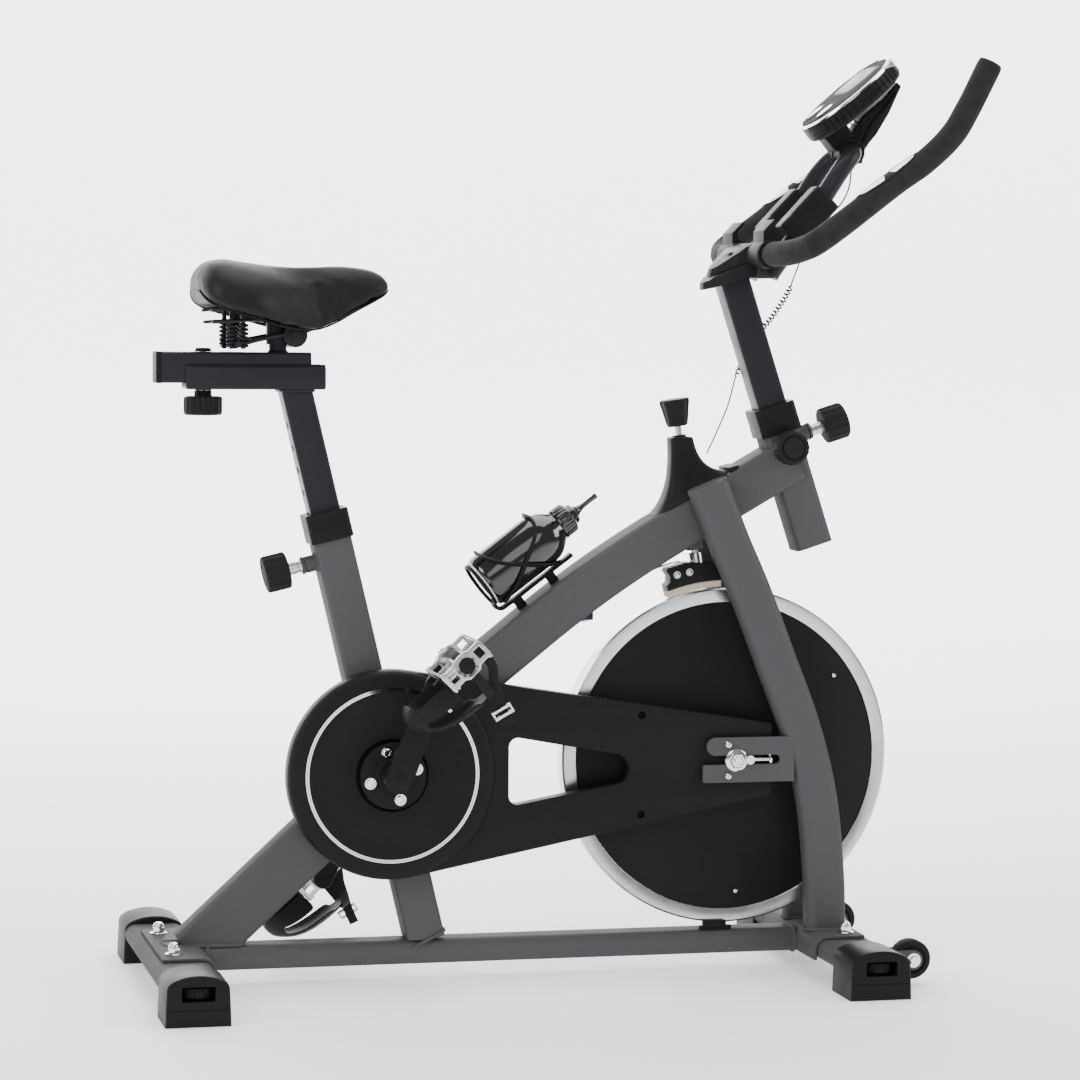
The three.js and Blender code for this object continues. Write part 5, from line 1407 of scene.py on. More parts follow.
def seat_slide():
    rail = block("saddle_rail_channel", (56, -24, 778), (238, 24, 808), 3.2, "black_coat", SEAT, ("saddle_rail",), 4)
    cut(rail, block("rail_cut", (50, -21.7, 782), (244, 21.7, 815), 0, "black_coat", SEAT))
    smooth(rail, 30)
    liner = block("rail_liner_bush", (56.6, -21.5, 782.3), (237.4, 21.5, 810.4), 0.8, "black_plastic", SEAT,
                  ("rail_liner",), 2)
    cut(liner, block("liner_cut", (50, -20.3, 785.4), (244, 20.3, 820), 0, "black_plastic", SEAT))
    path = [(24, 0, 806), (219, 0, 806)]
    slider = sweep("slider_tube", path, rounded(40, 40, 4.5, 5), "black_coat", SADDLE, ("slider",))
    inside = sweep("slider_bore", [(60, 0, 806), (225, 0, 806)], rounded(35.6, 35.6, 3, 4), "black_coat", SADDLE)
    slot = block("slider_slot", (54, -5.5, 780), (138, 5.5, 830), 0, "black_coat", SADDLE)
    cut(slider, inside, slot)
    smooth(slider, 30)
    block("slider_end_plug", (18, -20.4, 785.6), (26.5, 20.4, 826.4), 2.4, "cover_plastic", SADDLE, (), 4)
    block("slider_front_plug", (208, -17.6, 788.4), (216.5, 17.6, 823.6), 2, "black_plastic", SADDLE, (), 3)
    nut = [(0, 826.4), (11, 826.4), (11, 828), (10.2, 828.4), (10.2, 830), (9, 831), (3, 831.3), (0, 831.3)]
    lathe("slider_bolt_head", (81, 0, 0), (0, 0, 1), nut, "black_plastic", "slider_knob", segments=48)
    fluted("slider_knob_grip", (81, 0, 769), (0, 0, -1), knob_profile(25, 24.5, 1.4), 16, "black_plastic",
           "slider_knob", ("slider_knob",))
    fluted("slider_knob_neck", (81, 0, 768), (0, 0, 1), [(11.4, 0, 0.8), (11, 9, 0.8), (10.4, 9.6, 0)], 8,
           "black_plastic", "slider_knob")
    lathe("slider_knob_washer", (81, 0, 777.2), (0, 0, -1), [(4, 0), (11, 0), (11, 0.9), (4, 0.9)], "chrome",
          "slider_knob", segments=40)
    lathe("slider_bolt", (81, 0, 770), (0, 0, 1), [(0, 0), (4.6, 0), (4.6, 58), (0, 58)], "chrome", "slider_knob",
          segments=24)


def saddle_mount():
    post = [(0, 825), (13.5, 825), (13.5, 826.6), (11.6, 828.4), (11.6, 866), (10.6, 868), (0, 868)]
    lathe("saddle_stem", (178, 0, 0), (0, 0, 1), post, "black_coat", SADDLE, segments=48)
    clamp = [(0, -33), (5, -33), (5, -31), (7.8, -31), (7.8, -28), (10, -27.5), (14.8, -27.5), (15.6, -26.6),
             (15.6, -20), (14.4, -19), (14.4, 19), (15.6, 20), (15.6, 26.6), (14.8, 27.5), (10, 27.5), (7.8, 28),
             (7.8, 31), (5, 31), (5, 33), (0, 33)]
    lathe("saddle_clamp", (197, 0, 848), (0, 1, 0), clamp, "black_coat", SADDLE, ("saddle_frame",), 56)
    band = [(12, -14), (15, -14), (15, 14), (12, 14)]
    lathe("saddle_clamp_band", (178, 0, 850), (0, 0, 1), band, "black_coat", SADDLE, segments=40)
    for side in (-1, 1):
        path = curve_through([(108, side * 31, 842), (126, side * 34, 838), (150, side * 29, 843),
                              (176, side * 24, 848),
                              (200, side * 22, 851), (232, side * 21, 862), (262, side * 15, 878),
                              (280, side * 6, 890)], 8)
        sweep(f"saddle_rail_wire_{side}", path, circle(3.4, 14), "black_coat", SADDLE)
        saddle_spring(side)
        for k, (height, back, front, wide) in enumerate(((862, 88, 152, 16), (880, 86, 128, 14))):
            loop = [((back + front) / 2 + (front - back) / 2 * math.cos(t), side * 40 + wide * math.sin(t),
                     height + 4 * math.cos(t) + (6 - 3 * k) * math.sin(t / 2))
                    for t in (2 * math.pi * i / 48 for i in range(48))]
            sweep(f"saddle_wire_loop_{side}_{k}", loop, circle(2.1, 12), "black_coat", SADDLE, closed=True,
                  across=(0, 0, 1))
    cross = [(0, -44), (4.2, -44), (4.2, 44), (0, 44)]
    lathe("saddle_spring_bar", (120, 0, 836), (0, 1, 0), cross, "black_coat", SADDLE, segments=24)


def saddle_spring(side):
    """Coil spring that carries the rear of the saddle, between a foot washer and the base plate."""
    turns, steps = 5.5, 26
    for k, x in enumerate((113, 128)):
        path = []
        for i in range(int(turns * steps) + 1):
            angle = 2 * math.pi * i / steps
            path.append((x + 5.4 * math.cos(angle), side * 33 + 5.4 * math.sin(angle),
                         834 + 29 * i / (turns * steps)))
        sweep(f"saddle_spring_{side}_{k}", path, circle(1.7, 10), "black_coat", SADDLE, across=(0, 0, 1))
        stud = [(0, 830), (3.2, 830), (3.2, 832), (6.6, 832), (6.6, 834), (3, 834), (3, 896), (0, 896)]
        lathe(f"saddle_spring_stud_{side}_{k}", (x, side * 33, 0), (0, 0, 1), stud, "black_coat", SADDLE, segments=20)


def saddle_rings(inset):
    per_span = 5
    tops = curve_through([(x, half, top) for x, half, top, skirt in SADDLE_STATIONS], per_span)
    skirts = curve_through([(x, skirt, 0) for x, half, top, skirt in SADDLE_STATIONS], per_span)
    return [(a.x, a.y - inset, a.z - inset, b.y + inset) for a, b in zip(tops, skirts)]


def saddle():
    """Vinyl pad: a lofted shell, remeshed and swollen a little by cloth pressure, with a hem and a base plate."""
    crown, vertices, faces = 32, [], []
    rings = saddle_rings(1.6)
    for x, half, top, skirt in rings:
        for i in range(crown + 1):
            angle = math.pi * i / crown
            c = math.cos(angle)
            dip = 3.2 * math.exp(-(c / 0.16) ** 2) * max(0, min(1, (x - 70) / 60, (300 - x) / 60))
            wide = math.copysign(abs(c) ** 0.75, c)
            vertices.append((x, half * wide, skirt + (top - skirt) * math.sin(angle) ** 0.8 - dip))
        under = min(max(skirt + 5, 892), top - 7)
        vertices += [(x, -half * 0.88, skirt), (x, -half * 0.74, under), (x, 0, under), (x, half * 0.74, under),
                     (x, half * 0.88, skirt)]
    size = crown + 6
    for k in range(len(rings) - 1):
        for i in range(size):
            j = (i + 1) % size
            faces.append((k * size + i, k * size + j, (k + 1) * size + j, (k + 1) * size + i))
    faces.append(tuple(range(size)))
    faces.append(tuple((len(rings) - 1) * size + i for i in range(size)))
    pad = piece("saddle_pad", vertices, faces, "saddle_vinyl", SADDLE, ("saddle",), 60)
    swell(pad, 0.0045, 0.0035, 3.5)
    hem_and_base(rings)


def swell(pad, voxel, most, pressure):
    """Remeshes a pad and lets air pressure round it, moving no point further than most."""
    remesh = pad.modifiers.new("remesh", "REMESH")
    remesh.mode = "VOXEL"
    remesh.voxel_size = voxel
    relax = pad.modifiers.new("relax", "SMOOTH")
    relax.factor = 0.6
    relax.iterations = 6
    apply_modifiers(pad)
    before = [v.co.copy() for v in pad.data.vertices]
    cloth = pad.modifiers.new("swell", "CLOTH")
    cloth.settings.use_pressure = True
    cloth.settings.uniform_pressure_force = pressure
    cloth.settings.effector_weights.gravity = 0
    cloth.settings.quality = 4
    for step in range(1, 21):
        SCENE.frame_set(step)
    apply_modifiers(pad)
    for vertex, start in zip(pad.data.vertices, before):
        moved = vertex.co - start
        if moved.length > most:
            vertex.co = start + moved.normalized() * most
    SCENE.frame_set(1)
    even = pad.modifiers.new("even", "SMOOTH")
    even.factor = 0.5
    even.iterations = 4
    finer = pad.modifiers.new("finer", "SUBSURF")
    finer.levels = 1
    apply_modifiers(pad)
    smooth(pad, 80)


def hem_and_base(rings):
    inner = [(x + 5 * max(0, (90 - x) / 28) - 6 * max(0, (x - 300) / 27), half * 0.9 - 1.5, top, skirt)
             for x, half, top, skirt in rings]
    left = [(x, half, skirt + 1.6) for x, half, top, skirt in inner]
    right = [(x, -half, skirt + 1.6) for x, half, top, skirt in reversed(inner)]
    hem = resample([*left, *right, left[0]], 3)[:-1]
    sweep("saddle_hem", hem, circle(1.3, 10), "black_plastic", SADDLE, closed=True, across=(0, 0, 1))
    rings = inner
    vertices, faces = [], []
    for x, half, top, skirt in rings:
        under = min(max(skirt + 3.4, 889), top - 8)
        vertices += [(x, half * 0.95, skirt + 3), (x, half * 0.8, under), (x, 0, under + 1), (x, -half * 0.8, under),
                     (x, -half * 0.95, skirt + 3)]
    for k in range(len(rings) - 1):
        for i in range(4):
            faces.append((k * 5 + i, k * 5 + i + 1, (k + 1) * 5 + i + 1, (k + 1) * 5 + i))
    base = piece("saddle_base_shell", vertices, faces, "black_plastic", SADDLE, (), 60)
    thick = base.modifiers.new("thick", "SOLIDIFY")
    thick.thickness = 0.0022
    thick.offset = 0
    apply_modifiers(base)
    smooth(base, 50)


seat_post()
collar("seat_collar_bush", SEAT_AXIS, 331, "seat_collar")
pin_knob("seat_pin", SEAT_AXIS, -41, 288, "seat_pin", "seat_pin_knob")
seat_slide()
saddle_mount()
saddle()
brake()


# ---------------------------------------------------------------- handlebar
BAR_LINE = ((839, 971), (879, 999), (947, 1051), (986, 1078), (1022, 1113), (1041, 1144), (1072, 1205))
BAR_BEND = ((812, 0, 958), (812, 80, 958), (815, 118, 958), (820, 150, 959), (828, 180, 963))
HAIRPIN = ((826, 47, 931), (859, 47, 978), (897, 47, 1031), (922, 47, 1069), (940, 38, 1090), (948, 18, 1097))
ARM_Y = 205
GRIP_START = 102
BAR_RADIUS, GRIP_RADIUS = 12.5, 16.5


def bar_path(per_span=14):
    half = [*BAR_BEND, *((x, ARM_Y, z) for x, z in BAR_LINE)]
    other = [(x, -y, z) for x, y, z in reversed(half[1:])]
    return curve_through([*other, *half], per_span)


def handlebar_post():
    path = [on_axis(HEAD_AXIS, 0, 0, -58), on_axis(HEAD_AXIS, 0, 0, 237.5)]
    post = sweep("handlebar_post_tube", path, rounded(40, 40, 4.5, 5), "black_coat", HANDLEBAR, ("handlebar_post",))
    inside = sweep("post_bore", [on_axis(HEAD_AXIS, 0, 0, -60), on_axis(HEAD_AXIS, 0, 0, 0)], rounded(36, 36, 3, 4),
                   "black_coat", HANDLEBAR)
    cut(post, inside)
    post_holes(post, HEAD_AXIS, 40, 190, 25, 1)
    smooth(post, 30)


def bars():
    path = bar_path()
    inner = [p for p in path if abs(p.y) < GRIP_START + 14]
    sweep("handlebar_outer", inner, circle(BAR_RADIUS, 32), "black_coat", HANDLEBAR, ("handlebar",), (0, 0, 1))
    legs = [*HAIRPIN, *((x, -y, z) for x, y, z in reversed(HAIRPIN))]
    sweep("handlebar_hairpin", curve_through(legs, 12), circle(BAR_RADIUS, 36), "black_coat", HANDLEBAR)
    block("handlebar_gusset", (779, -18, 928), (818, 18, 962), 3, "black_coat", HANDLEBAR)
    block("handlebar_shelf", (807, -57, 927), (835, 57, 947), 4, "black_coat", HANDLEBAR)
    for side, sign in (("right", -1), ("left", 1)):
        sleeve = [p for p in path if p.y * sign >= GRIP_START]
        sleeve = sleeve if sign > 0 else sleeve[::-1]
        grip_sleeve(side, sleeve)
        tip = sleeve[-1]
        out = (sleeve[-1] - sleeve[-2]).normalized()
        lathe(f"bar_end_plug_{side}", tip, out, [(0, -3), (13.4, -3), (13.4, -0.6), (12.4, 0), (3, -0.4), (0, -0.4)],
              "black_plastic", HANDLEBAR, segments=40)
        grip_plates(side, sign, path)


def grip_sleeve(side, path):
    """Foam tube along one arm with softly rounded ends, a touch fuller between them."""
    lengths = [0.0]
    for a, b in zip(path, path[1:]):
        lengths.append(lengths[-1] + (b - a).length)
    total = lengths[-1]
    scale = []
    for s in lengths:
        end = min(s, total - s)
        scale.append((0.93 + 0.07 * min(1, end / 5) ** 0.5) * (1 + 0.006 * math.sin(s / 17)))
    vertices, faces = sweep_data(path, circle(GRIP_RADIUS - 0.1, 44), (0, 0, 1), False, scale)
    made = piece(f"grip_{side}_foam", vertices, faces, "foam", HANDLEBAR, (f"grip_{side}",))
    hole = rod(f"grip_hole_{side}", path[-1] - (path[-1] - path[-2]).normalized() * 4,
               path[-1] + (path[-1] - path[-2]).normalized() * 4, 13.5, "foam", HANDLEBAR)
    cut(made, hole)


def grip_plates(side, sign, path):
    """Two bright contact plates let into the top of the foam, in a black frame with a bridge between."""
    arm = [p for p in path if p.y * sign > ARM_Y - 1 and 900 <= p.x <= 985]
    arm = resample(arm if arm[0].x < arm[-1].x else arm[::-1], 1.5)
    count = len(arm)
    for name, start, end, slot, radius, reach in (
            ("frame", 0.0, 1.0, "black_plastic", GRIP_RADIUS + 0.6, 52),
            ("low", 0.05, 0.46, "alloy", GRIP_RADIUS + 1.2, 42),
            ("high", 0.54, 0.95, "alloy", GRIP_RADIUS + 1.2, 42)):
        part_of = arm[int(start * count):int(end * count)]
        vertices, faces = [], []
        around = 20
        for k, p in enumerate(part_of):
            ahead = arm[min(int(start * count) + k + 1, count - 1)] - arm[max(int(start * count) + k - 1, 0)]
            tangent = ahead.normalized()
            side_way = Vector((0, -1, 0))
            up = side_way.cross(tangent).normalized()
            up = up if up.z > 0 else -up
            t = start + (end - start) * k / max(1, len(part_of) - 1)
            own = k / max(1, len(part_of) - 1)
            corner = min(1, 0.55 + 5 * min(own, 1 - own))
            taper = (0.12 + 0.88 * math.sin(math.pi * min(max(t, 0.0), 1.0)) ** 0.55) * corner
            for i in range(around + 1):
                angle = math.radians(reach * taper * (2 * i / around - 1))
                vertices.append(tuple(p + (up * math.cos(angle) + side_way * math.sin(angle)) * radius))
        for k in range(len(part_of) - 1):
            for i in range(around):
                a = k * (around + 1) + i
                faces.append((a, a + 1, a + around + 2, a + around + 1))
        made = piece(f"grip_{side}_plate_{name}", vertices, faces, slot, HANDLEBAR, (), 50)
        thick = made.modifiers.new("thick", "SOLIDIFY")
        thick.thickness = 0.0022
        thick.offset = -1
        apply_modifiers(made)
        bevel(made, 0.5, 2, 50)


def beside(name, plan, sign):
    """A block that fills one side outside a plan outline of (x, half width), as a cutting tool."""
    ring = [(700, 2), *plan, (860, plan[-1][1]), (860, 90), (700, 90)]
    count = len(ring)
    vertices = [(x, sign * y, z) for z in (840, 1040) for x, y in ring]
    faces = [tuple(range(count)), tuple(range(count, 2 * count))]
    faces += [(i, (i + 1) % count, count + (i + 1) % count, count + i) for i in range(count)]
    return piece(name, vertices, faces, "black_plastic", HANDLEBAR)


def nosed(name, outline, plan, half, edge, stands_for=()):
    """A side outline given width, then narrowed to a blunt nose in plan, with every edge rounded."""
    made = plate(name, outline, -half, half, 0.3, "black_plastic", HANDLEBAR, stands_for, segments=1)
    cut(made, beside(name + "_right", plan, -1), beside(name + "_left", plan, 1))
    return bevel(made, edge, 3, 24)


def clamp_cover():
    """Two-part moulded cover over the post's top, with a ringed sleeve each side round the bar."""
    tray_side = [(746.6, 911.3), (746.6, 921), (752, 924), (757.5, 929.3), (784, 942.8), (813, 950.4), (813, 932.5)]
    lid_side = [(757.2, 930.4), (757.2, 938.6), (794, 968), (807, 974), (816, 974), (816, 951.8), (784, 944)]
    skirt_side = [(756.4, 930), (756.4, 934.4), (790, 954), (813, 962.5), (813, 951.4), (784, 943.5)]
    tray_plan = [(746.8, 9), (752, 21), (775, 43), (790, 48.6), (806, 50)]
    lid_plan = [(757.4, 8), (763, 20), (785, 43), (796, 46.6), (806, 47.6)]
    skirt_plan = [(756.4, 9), (762, 21), (784, 44.2), (795, 47.8), (806, 48.9)]
    tray = nosed("clamp_cover_tray", tray_side, tray_plan, 50, 1.5, ("clamp_cover",))
    nosed("clamp_cover_lid", lid_side, lid_plan, 47.6, 2.6)
    nosed("clamp_cover_skirt", skirt_side, skirt_plan, 48.9, 0.9)
    post = sweep("clamp_post_room", [on_axis(HEAD_AXIS, 0, 0, 180), on_axis(HEAD_AXIS, 0, 0, 238.5)],
                 rounded(41, 41, 4, 4), "black_plastic", HANDLEBAR)
    cut(tray, post)
    smooth(tray, 30)
    for side, sign in (("right", -1), ("left", 1)):
        sleeve = [(13, 38), (18.4, 38), (18.4, 49), (17, 50), (17, 53), (18.4, 54), (18.4, 94.5), (17, 95.6),
                  (17, 97.4),
                  (18.6, 98.4), (18.6, 100.6), (18, 101.2), (13, 101.2)]
        lathe(f"clamp_sleeve_{side}", (812, 0, 958), (0, sign, 0), sleeve, "black_plastic", HANDLEBAR, segments=56)
        hook = [(803, 962), (803, 988.5), (817.5, 1003.6), (821.5, 1001), (811, 989.4), (811, 962)]
        plate(f"device_hook_{side}", hook, *sorted((sign * 48, sign * 95)), 1.1, "black_plastic", HANDLEBAR)
        web = [(808, 966), (808, 988), (820, 972), (822, 962)]
        for y in (50, 90):
            plate(f"device_hook_web_{side}_{y}", web, *sorted((sign * y, sign * (y + 3))), 0.8, "black_plastic",
                  HANDLEBAR)
    dome_screw("clamp_screw", (762, 0, 916.4), (0.36, 0, -1), 4, "chrome", HANDLEBAR)


def arm_sleeves():
    along = Vector((math.sin(math.radians(43)), 0, math.cos(math.radians(43))))
    for side, y in (("right", -47), ("left", 47)):
        foot = Vector((852, y, 982))
        steps = (0, 2, 20, 21, 22.4, 23.4, 68, 72, 74)
        scale = [0.94, 1, 1, 0.985, 0.985, 1, 1, 0.97, 0.9]
        body = sweep(f"arm_sleeve_{side}_shell", [foot + along * s for s in steps], rounded(32, 42, 5, 6),
                     "black_plastic", HANDLEBAR, (f"arm_sleeve_{side}",), scale=scale)
        low = rod(f"arm_sleeve_room_{side}", (812, y - 40, 958), (812, y + 40, 958), 19.6, "black_plastic", HANDLEBAR)
        cut(body, low)
        lathe(f"arm_sleeve_cuff_{side}", Vector((899, y, 1033)), (0.583, 0, 0.813),
              [(12.6, -4), (14.4, -4), (14.4, 3), (12.6, 3)], "black_plastic", HANDLEBAR, segments=40)
    for sign in (-1, 1):
        path = curve_through([(948, sign * 13, 1090), (946, sign * 22, 1072), (938, sign * 34, 1045),
                              (921, sign * 44, 1022), (905, sign * 47, 1012)], 10)
        sweep(f"pulse_wire_{sign}", path, circle(1.1, 8), "rubber", HANDLEBAR)


# ---------------------------------------------------------------- console
CONSOLE = (951, 1167)
CONSOLE_TILT = math.radians(40)
CONSOLE_LONG, CONSOLE_WIDE, CONSOLE_DEEP = 152, 140, 30


def console_place(x, y, z):
    c, s = math.cos(CONSOLE_TILT), math.sin(CONSOLE_TILT)
    return CONSOLE[0] + x * c - z * s, y, CONSOLE[1] + x * s + z * c


def console_ring(scale, z, count, rib=0.0):
    ring = []
    for i in range(count):
        angle = 2 * math.pi * i / count
        c, s = math.cos(angle), math.sin(angle)
        r = scale
        if rib and abs(c) < 0.8 and i % 5 == 0:
            r -= rib
        ring.append(console_place(r * CONSOLE_LONG / 2 * math.copysign(abs(c) ** 0.94, c),
                                  r * CONSOLE_WIDE / 2 * math.copysign(abs(s) ** 0.94, s), z))
    return ring


def console_layers(name, layers, slot, stands_for=(), count=240, angle=34):
    vertices, faces = [], []
    for scale, z, rib in layers:
        vertices += console_ring(scale, z, count, rib)
    for k in range(len(layers) - 1):
        for i in range(count):
            j = (i + 1) % count
            faces.append((k * count + i, k * count + j, (k + 1) * count + j, (k + 1) * count + i))
    faces.append(tuple(range(count)))
    faces.append(tuple((len(layers) - 1) * count + i for i in range(count)))
    return piece(name, vertices, faces, slot, HANDLEBAR, stands_for, angle)


def console_patch(name, outline, low, high, edge, slot):
    """A rounded plate on the console's face; the outline is in the face's own plane."""
    count = len(outline)
    vertices, faces = [], []
    middle = Vector((sum(x for x, y in outline) / count, sum(y for x, y in outline) / count))
    for grow, z in ((1, low), (1, high - edge), (1 - edge / 30, high - edge * 0.3), (1 - edge / 12, high)):
        for x, y in outline:
            p = middle + (Vector((x, y)) - middle) * grow
            vertices.append(console_place(p.x, p.y, z))
    for k in range(3):
        for i in range(count):
            j = (i + 1) % count
            faces.append((k * count + i, k * count + j, (k + 1) * count + j, (k + 1) * count + i))
    faces.append(tuple(range(count)))
    faces.append(tuple(3 * count + i for i in range(count)))
    return piece(name, vertices, faces, slot, HANDLEBAR, (), 40)


def oval(x, y, half_x, half_y, power=2.0, steps=56):
    points = []
    for i in range(steps):
        angle = 2 * math.pi * i / steps
        c, s = math.cos(angle), math.sin(angle)
        points.append((x + half_x * math.copysign(abs(c) ** (2 / power), c),
                       y + half_y * math.copysign(abs(s) ** (2 / power), s)))
    return points


def console():
    console_layers("console_shell",
                   [(0.8, -15, 0), (0.88, -14.6, 0), (0.955, -12.4, 0), (0.985, -9, 0), (0.99, -8, 0.02),
                   (0.99, -2.4, 0.02), (0.98, -2, 0.02), (0.98, -1.2, 0.02), (0.99, -0.8, 0.02), (0.99, 6, 0.02),
                   (0.992, 6.6, 0), (0.995, 10, 0), (0.97, 10.4, 0)], "black_plastic", ("console",))
    console_layers("console_bezel",
                   [(0.96, 9.6, 0), (0.995, 9.8, 0), (0.998, 11, 0), (0.985, 12.8, 0), (0.955, 13.2, 0),
                   (0.94, 12, 0)], "chrome")
    console_layers("console_face",
                   [(0.945, 11.6, 0), (0.93, 12.6, 0), (0.9, 13.2, 0), (0.7, 14.4, 0), (0.4, 14.9, 0)],
                   "foam")
    display = oval(22, 0, 31, 40, 4.5)
    console_patch("console_display_frame", display, 12, 15.2, 1.4, "black_plastic")
    console_patch("console_display", oval(22, 0, 26, 34, 4.5), 12, 15.6, 0.6, "black_coat")
    for sign in (-1, 1):
        console_patch(f"console_button_ring_{sign}", oval(-43, sign * 21, 17, 12), 12, 15.2, 1.2, "black_plastic")
        console_patch(f"console_button_{sign}", oval(-43, sign * 21, 13.5, 8.8), 12, 15.8, 1, "alloy")
        console_wing(sign)
    neck = [(901, 1124), (916, 1109), (925, 1098), (955, 1098), (959, 1106), (940, 1136)]
    plate("console_neck", neck, -17, 17, 2.4, "black_plastic", HANDLEBAR, segments=4)
    strap = [(1018, 1186), (1012, 1191), (994, 1170), (964, 1145), (947, 1120), (951, 1104), (964, 1098), (984, 1121),
             (1002, 1151)]
    plate("console_strap", strap, -15, 15, 2.6, "black_plastic", HANDLEBAR, segments=4)
    rib = [(1009, 1178), (1000, 1165), (975, 1135), (961, 1106), (965, 1104), (981, 1128), (1002, 1158), (1012, 1176)]
    plate("console_strap_rib", rib, -17, 17, 1.2, "black_plastic", HANDLEBAR)
    clamp = [(12.7, -20), (17.4, -20), (18, -19), (18, -13), (16.6, -12), (16.6, 12), (18, 13), (18, 19), (17.4, 20),
             (12.7, 20)]
    lathe("console_clamp", (948, 0, 1097), (0, 1, 0), clamp, "black_plastic", HANDLEBAR, segments=56)
    block("console_clamp_foot", (951, -12, 1082), (966, 12, 1102), 2, "black_plastic", HANDLEBAR)
    for sign in (-1, 1):
        dome_screw(f"console_clamp_screw_{sign}", (966, sign * 7, 1090), (1, 0, -0.3), 3, "chrome", HANDLEBAR)
        path = curve_through([console_place(-18, sign * 6, -14), (963, sign * 19, 1128), (957, sign * 19, 1112),
                              (950, sign * 17.5, 1098)], 10)
        sweep(f"console_wire_{sign}", path, circle(1.0, 8), "rubber", HANDLEBAR)


def console_wing(sign):
    """Bright wing that wraps from the bezel over the console's upper corner."""
    vertices, faces = [], []
    steps, rows = 24, ((0.93, 13.6), (0.97, 13.4), (1.0, 11.6), (1.003, 9), (1.003, 2))
    for k in range(steps + 1):
        t = k / steps
        angle = math.radians(18 + 34 * t)
        for r, z in rows:
            deep = z if z > 9.5 else 10 + (z - 10) * min(1, 1.6 * (1 - t))
            c, s = math.cos(angle), math.sin(angle)
            vertices.append(console_place(r * CONSOLE_LONG / 2 * c ** 0.94, sign * r * CONSOLE_WIDE / 2 * s ** 0.94,
                                          deep))
    width = len(rows)
    for k in range(steps):
        for i in range(width - 1):
            a = k * width + i
            faces.append((a, a + 1, a + width + 1, a + width))
    made = piece(f"console_wing_{sign}", vertices, faces, "alloy", HANDLEBAR, (), 50)
    thick = made.modifiers.new("thick", "SOLIDIFY")
    thick.thickness = 0.0012
    thick.offset = 0
    apply_modifiers(made)


# ---------------------------------------------------------------- bottle
BOTTLE = (452, 523)
BOTTLE_AXIS = Vector((math.sin(math.radians(52.8)), 0, math.cos(math.radians(52.8))))
BOTTLE_UP = Vector((-BOTTLE_AXIS.z, 0, BOTTLE_AXIS.x))
BOTTLE_RADIUS = 36.5


def bottle():
    foot = (BOTTLE[0], 0, BOTTLE[1])
    r = BOTTLE_RADIUS
    body = [(0, 3), (20, 3), (25, 0.6), (31, 0.2), (34, 1.2), (35.8, 3.6), (r, 7), (r, 88), (36, 96), (34.6, 104),
            (31.6, 112), (27, 119), (22.4, 124), (20.4, 128), (20, 131), (20, 134), (0, 134)]
    lathe("bottle_body", foot, BOTTLE_AXIS, body, "bottle_gloss", "bottle", ("bottle",), 96)
    lathe("bottle_base_disc", foot, BOTTLE_AXIS, [(0, 2.6), (19, 2.6), (24.6, 0.2), (33, 0.1), (33.8, 0.7), (33, 1.4),
          (24, 1.6), (0, 3.4)], "alloy", "bottle", segments=80)
    cap = [(19, 130, 0), (21.2, 130, 0), (21.5, 131.4, 0.8), (21.5, 143, 0.8), (20.8, 145, 0.3), (19, 146.5, 0),
           (15.6, 148, 0), (14.6, 151, 0), (13.6, 153.6, 0), (9.6, 156, 0), (6, 160, 0), (4, 166, 0), (3.4, 171, 0),
           (3.4, 187, 0), (4, 189, 0), (3.6, 191.6, 0), (1.6, 192, 0)]
    fluted("bottle_cap", foot, BOTTLE_AXIS, cap, 22, "bottle_gloss", "bottle")
    lathe("bottle_neck_ring", foot, BOTTLE_AXIS, [(20, 126.4), (22.4, 126.8), (22.4, 129.4), (20, 129.8)],
          "bottle_gloss", "bottle", segments=64)


def cage_point(along, angle, radius):
    turned_up = BOTTLE_UP * math.cos(angle) + Vector((0, 1, 0)) * math.sin(angle)
    return Vector((BOTTLE[0], 0, BOTTLE[1])) + BOTTLE_AXIS * along + turned_up * radius


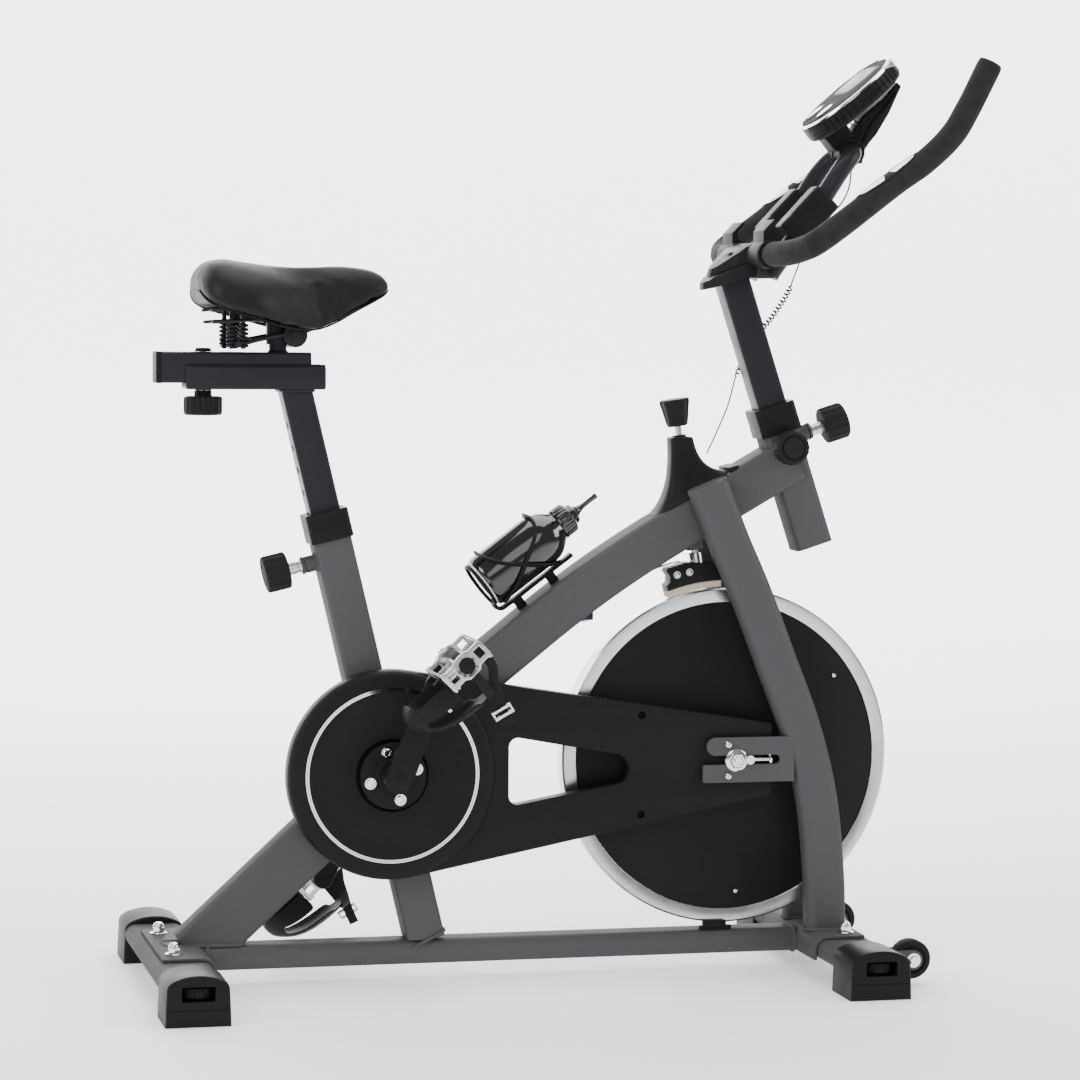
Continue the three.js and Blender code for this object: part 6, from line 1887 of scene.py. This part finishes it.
def bottle_cage():
    """Moulded cage: two crossing ribs over each flank, a bottom hoop and a spine bolted to the tube."""
    radius = 39
    for side in (-1, 1):
        for name, line in (("rising", ((6, 150), (30, 128), (60, 96), (92, 62), (100, 34), (98, 0))),
                           ("falling", ((98, 168), (82, 140), (60, 108), (34, 74), (20, 44), (16, 0)))):
            path = curve_through([cage_point(a, side * math.radians(t), radius) for a, t in line], 14)
            sweep(f"cage_rib_{name}_{side}", path, rounded(6.5, 2.8, 1.2, 3), "black_plastic", FRAME,
                  ("bottle_cage",) if side < 0 and name == "rising" else (), across=BOTTLE_AXIS)
    hoop = [cage_point(-3.6, 2 * math.pi * i / 72, 31) for i in range(72)]
    sweep("cage_foot_hoop", hoop, rounded(5, 3.4, 1.2, 3), "black_plastic", FRAME, closed=True, across=BOTTLE_AXIS)
    spine = [cage_point(a, math.pi, radius + d) for a, d in ((-5, -9), (-4.4, -2), (0, 2), (14, 3), (60, 3), (98, 3),
             (112, 3.2), (118, 2.6))]
    sweep("cage_spine", curve_through(spine, 8), rounded(17, 5, 1.6, 3), "black_plastic", FRAME)
    for along in (24, 78):
        foot = cage_point(along, math.pi, radius + 4)
        lathe(f"cage_stand_{along}", foot, -BOTTLE_UP, [(0, 0), (7, 0), (7, 14), (0, 14)], "black_plastic", FRAME,
              segments=32)


handlebar_post()
collar("head_collar_bush", HEAD_AXIS, 38, "head_collar")
pin_knob("bar_pin", HEAD_AXIS, 41, 8, "bar_pin", "bar_pin_knob")
bars()
clamp_cover()
arm_sleeves()
console()
bottle()
bottle_cage()


def side_knob():
    """Flat friction knob on the side of the head tube, with a dished face."""
    face = [(15, 0, 0), (21, 0, 0), (22.4, 0.8, 0.5), (23, 2.6, 1.2), (23, 15, 1.2), (22.2, 18, 0.6), (20.4, 20, 0),
            (17.5, 20.6, 0), (16, 19, 0), (14.6, 18.6, 0), (13.6, 21, 0), (12.6, 21.8, 0), (3, 21.2, 0)]
    fluted("side_knob_grip", (860.2, -37, 703), (0, -1, 0), face, 18, "rubber", "side_knob", ("side_knob",))
    lathe("side_knob_collar", (860.2, -25.4, 703), (0, -1, 0), [(5, 0), (15, 0), (15, 4), (12, 6), (12, 12), (5, 12)],
          "black_plastic", "side_knob", segments=48)


side_knob()
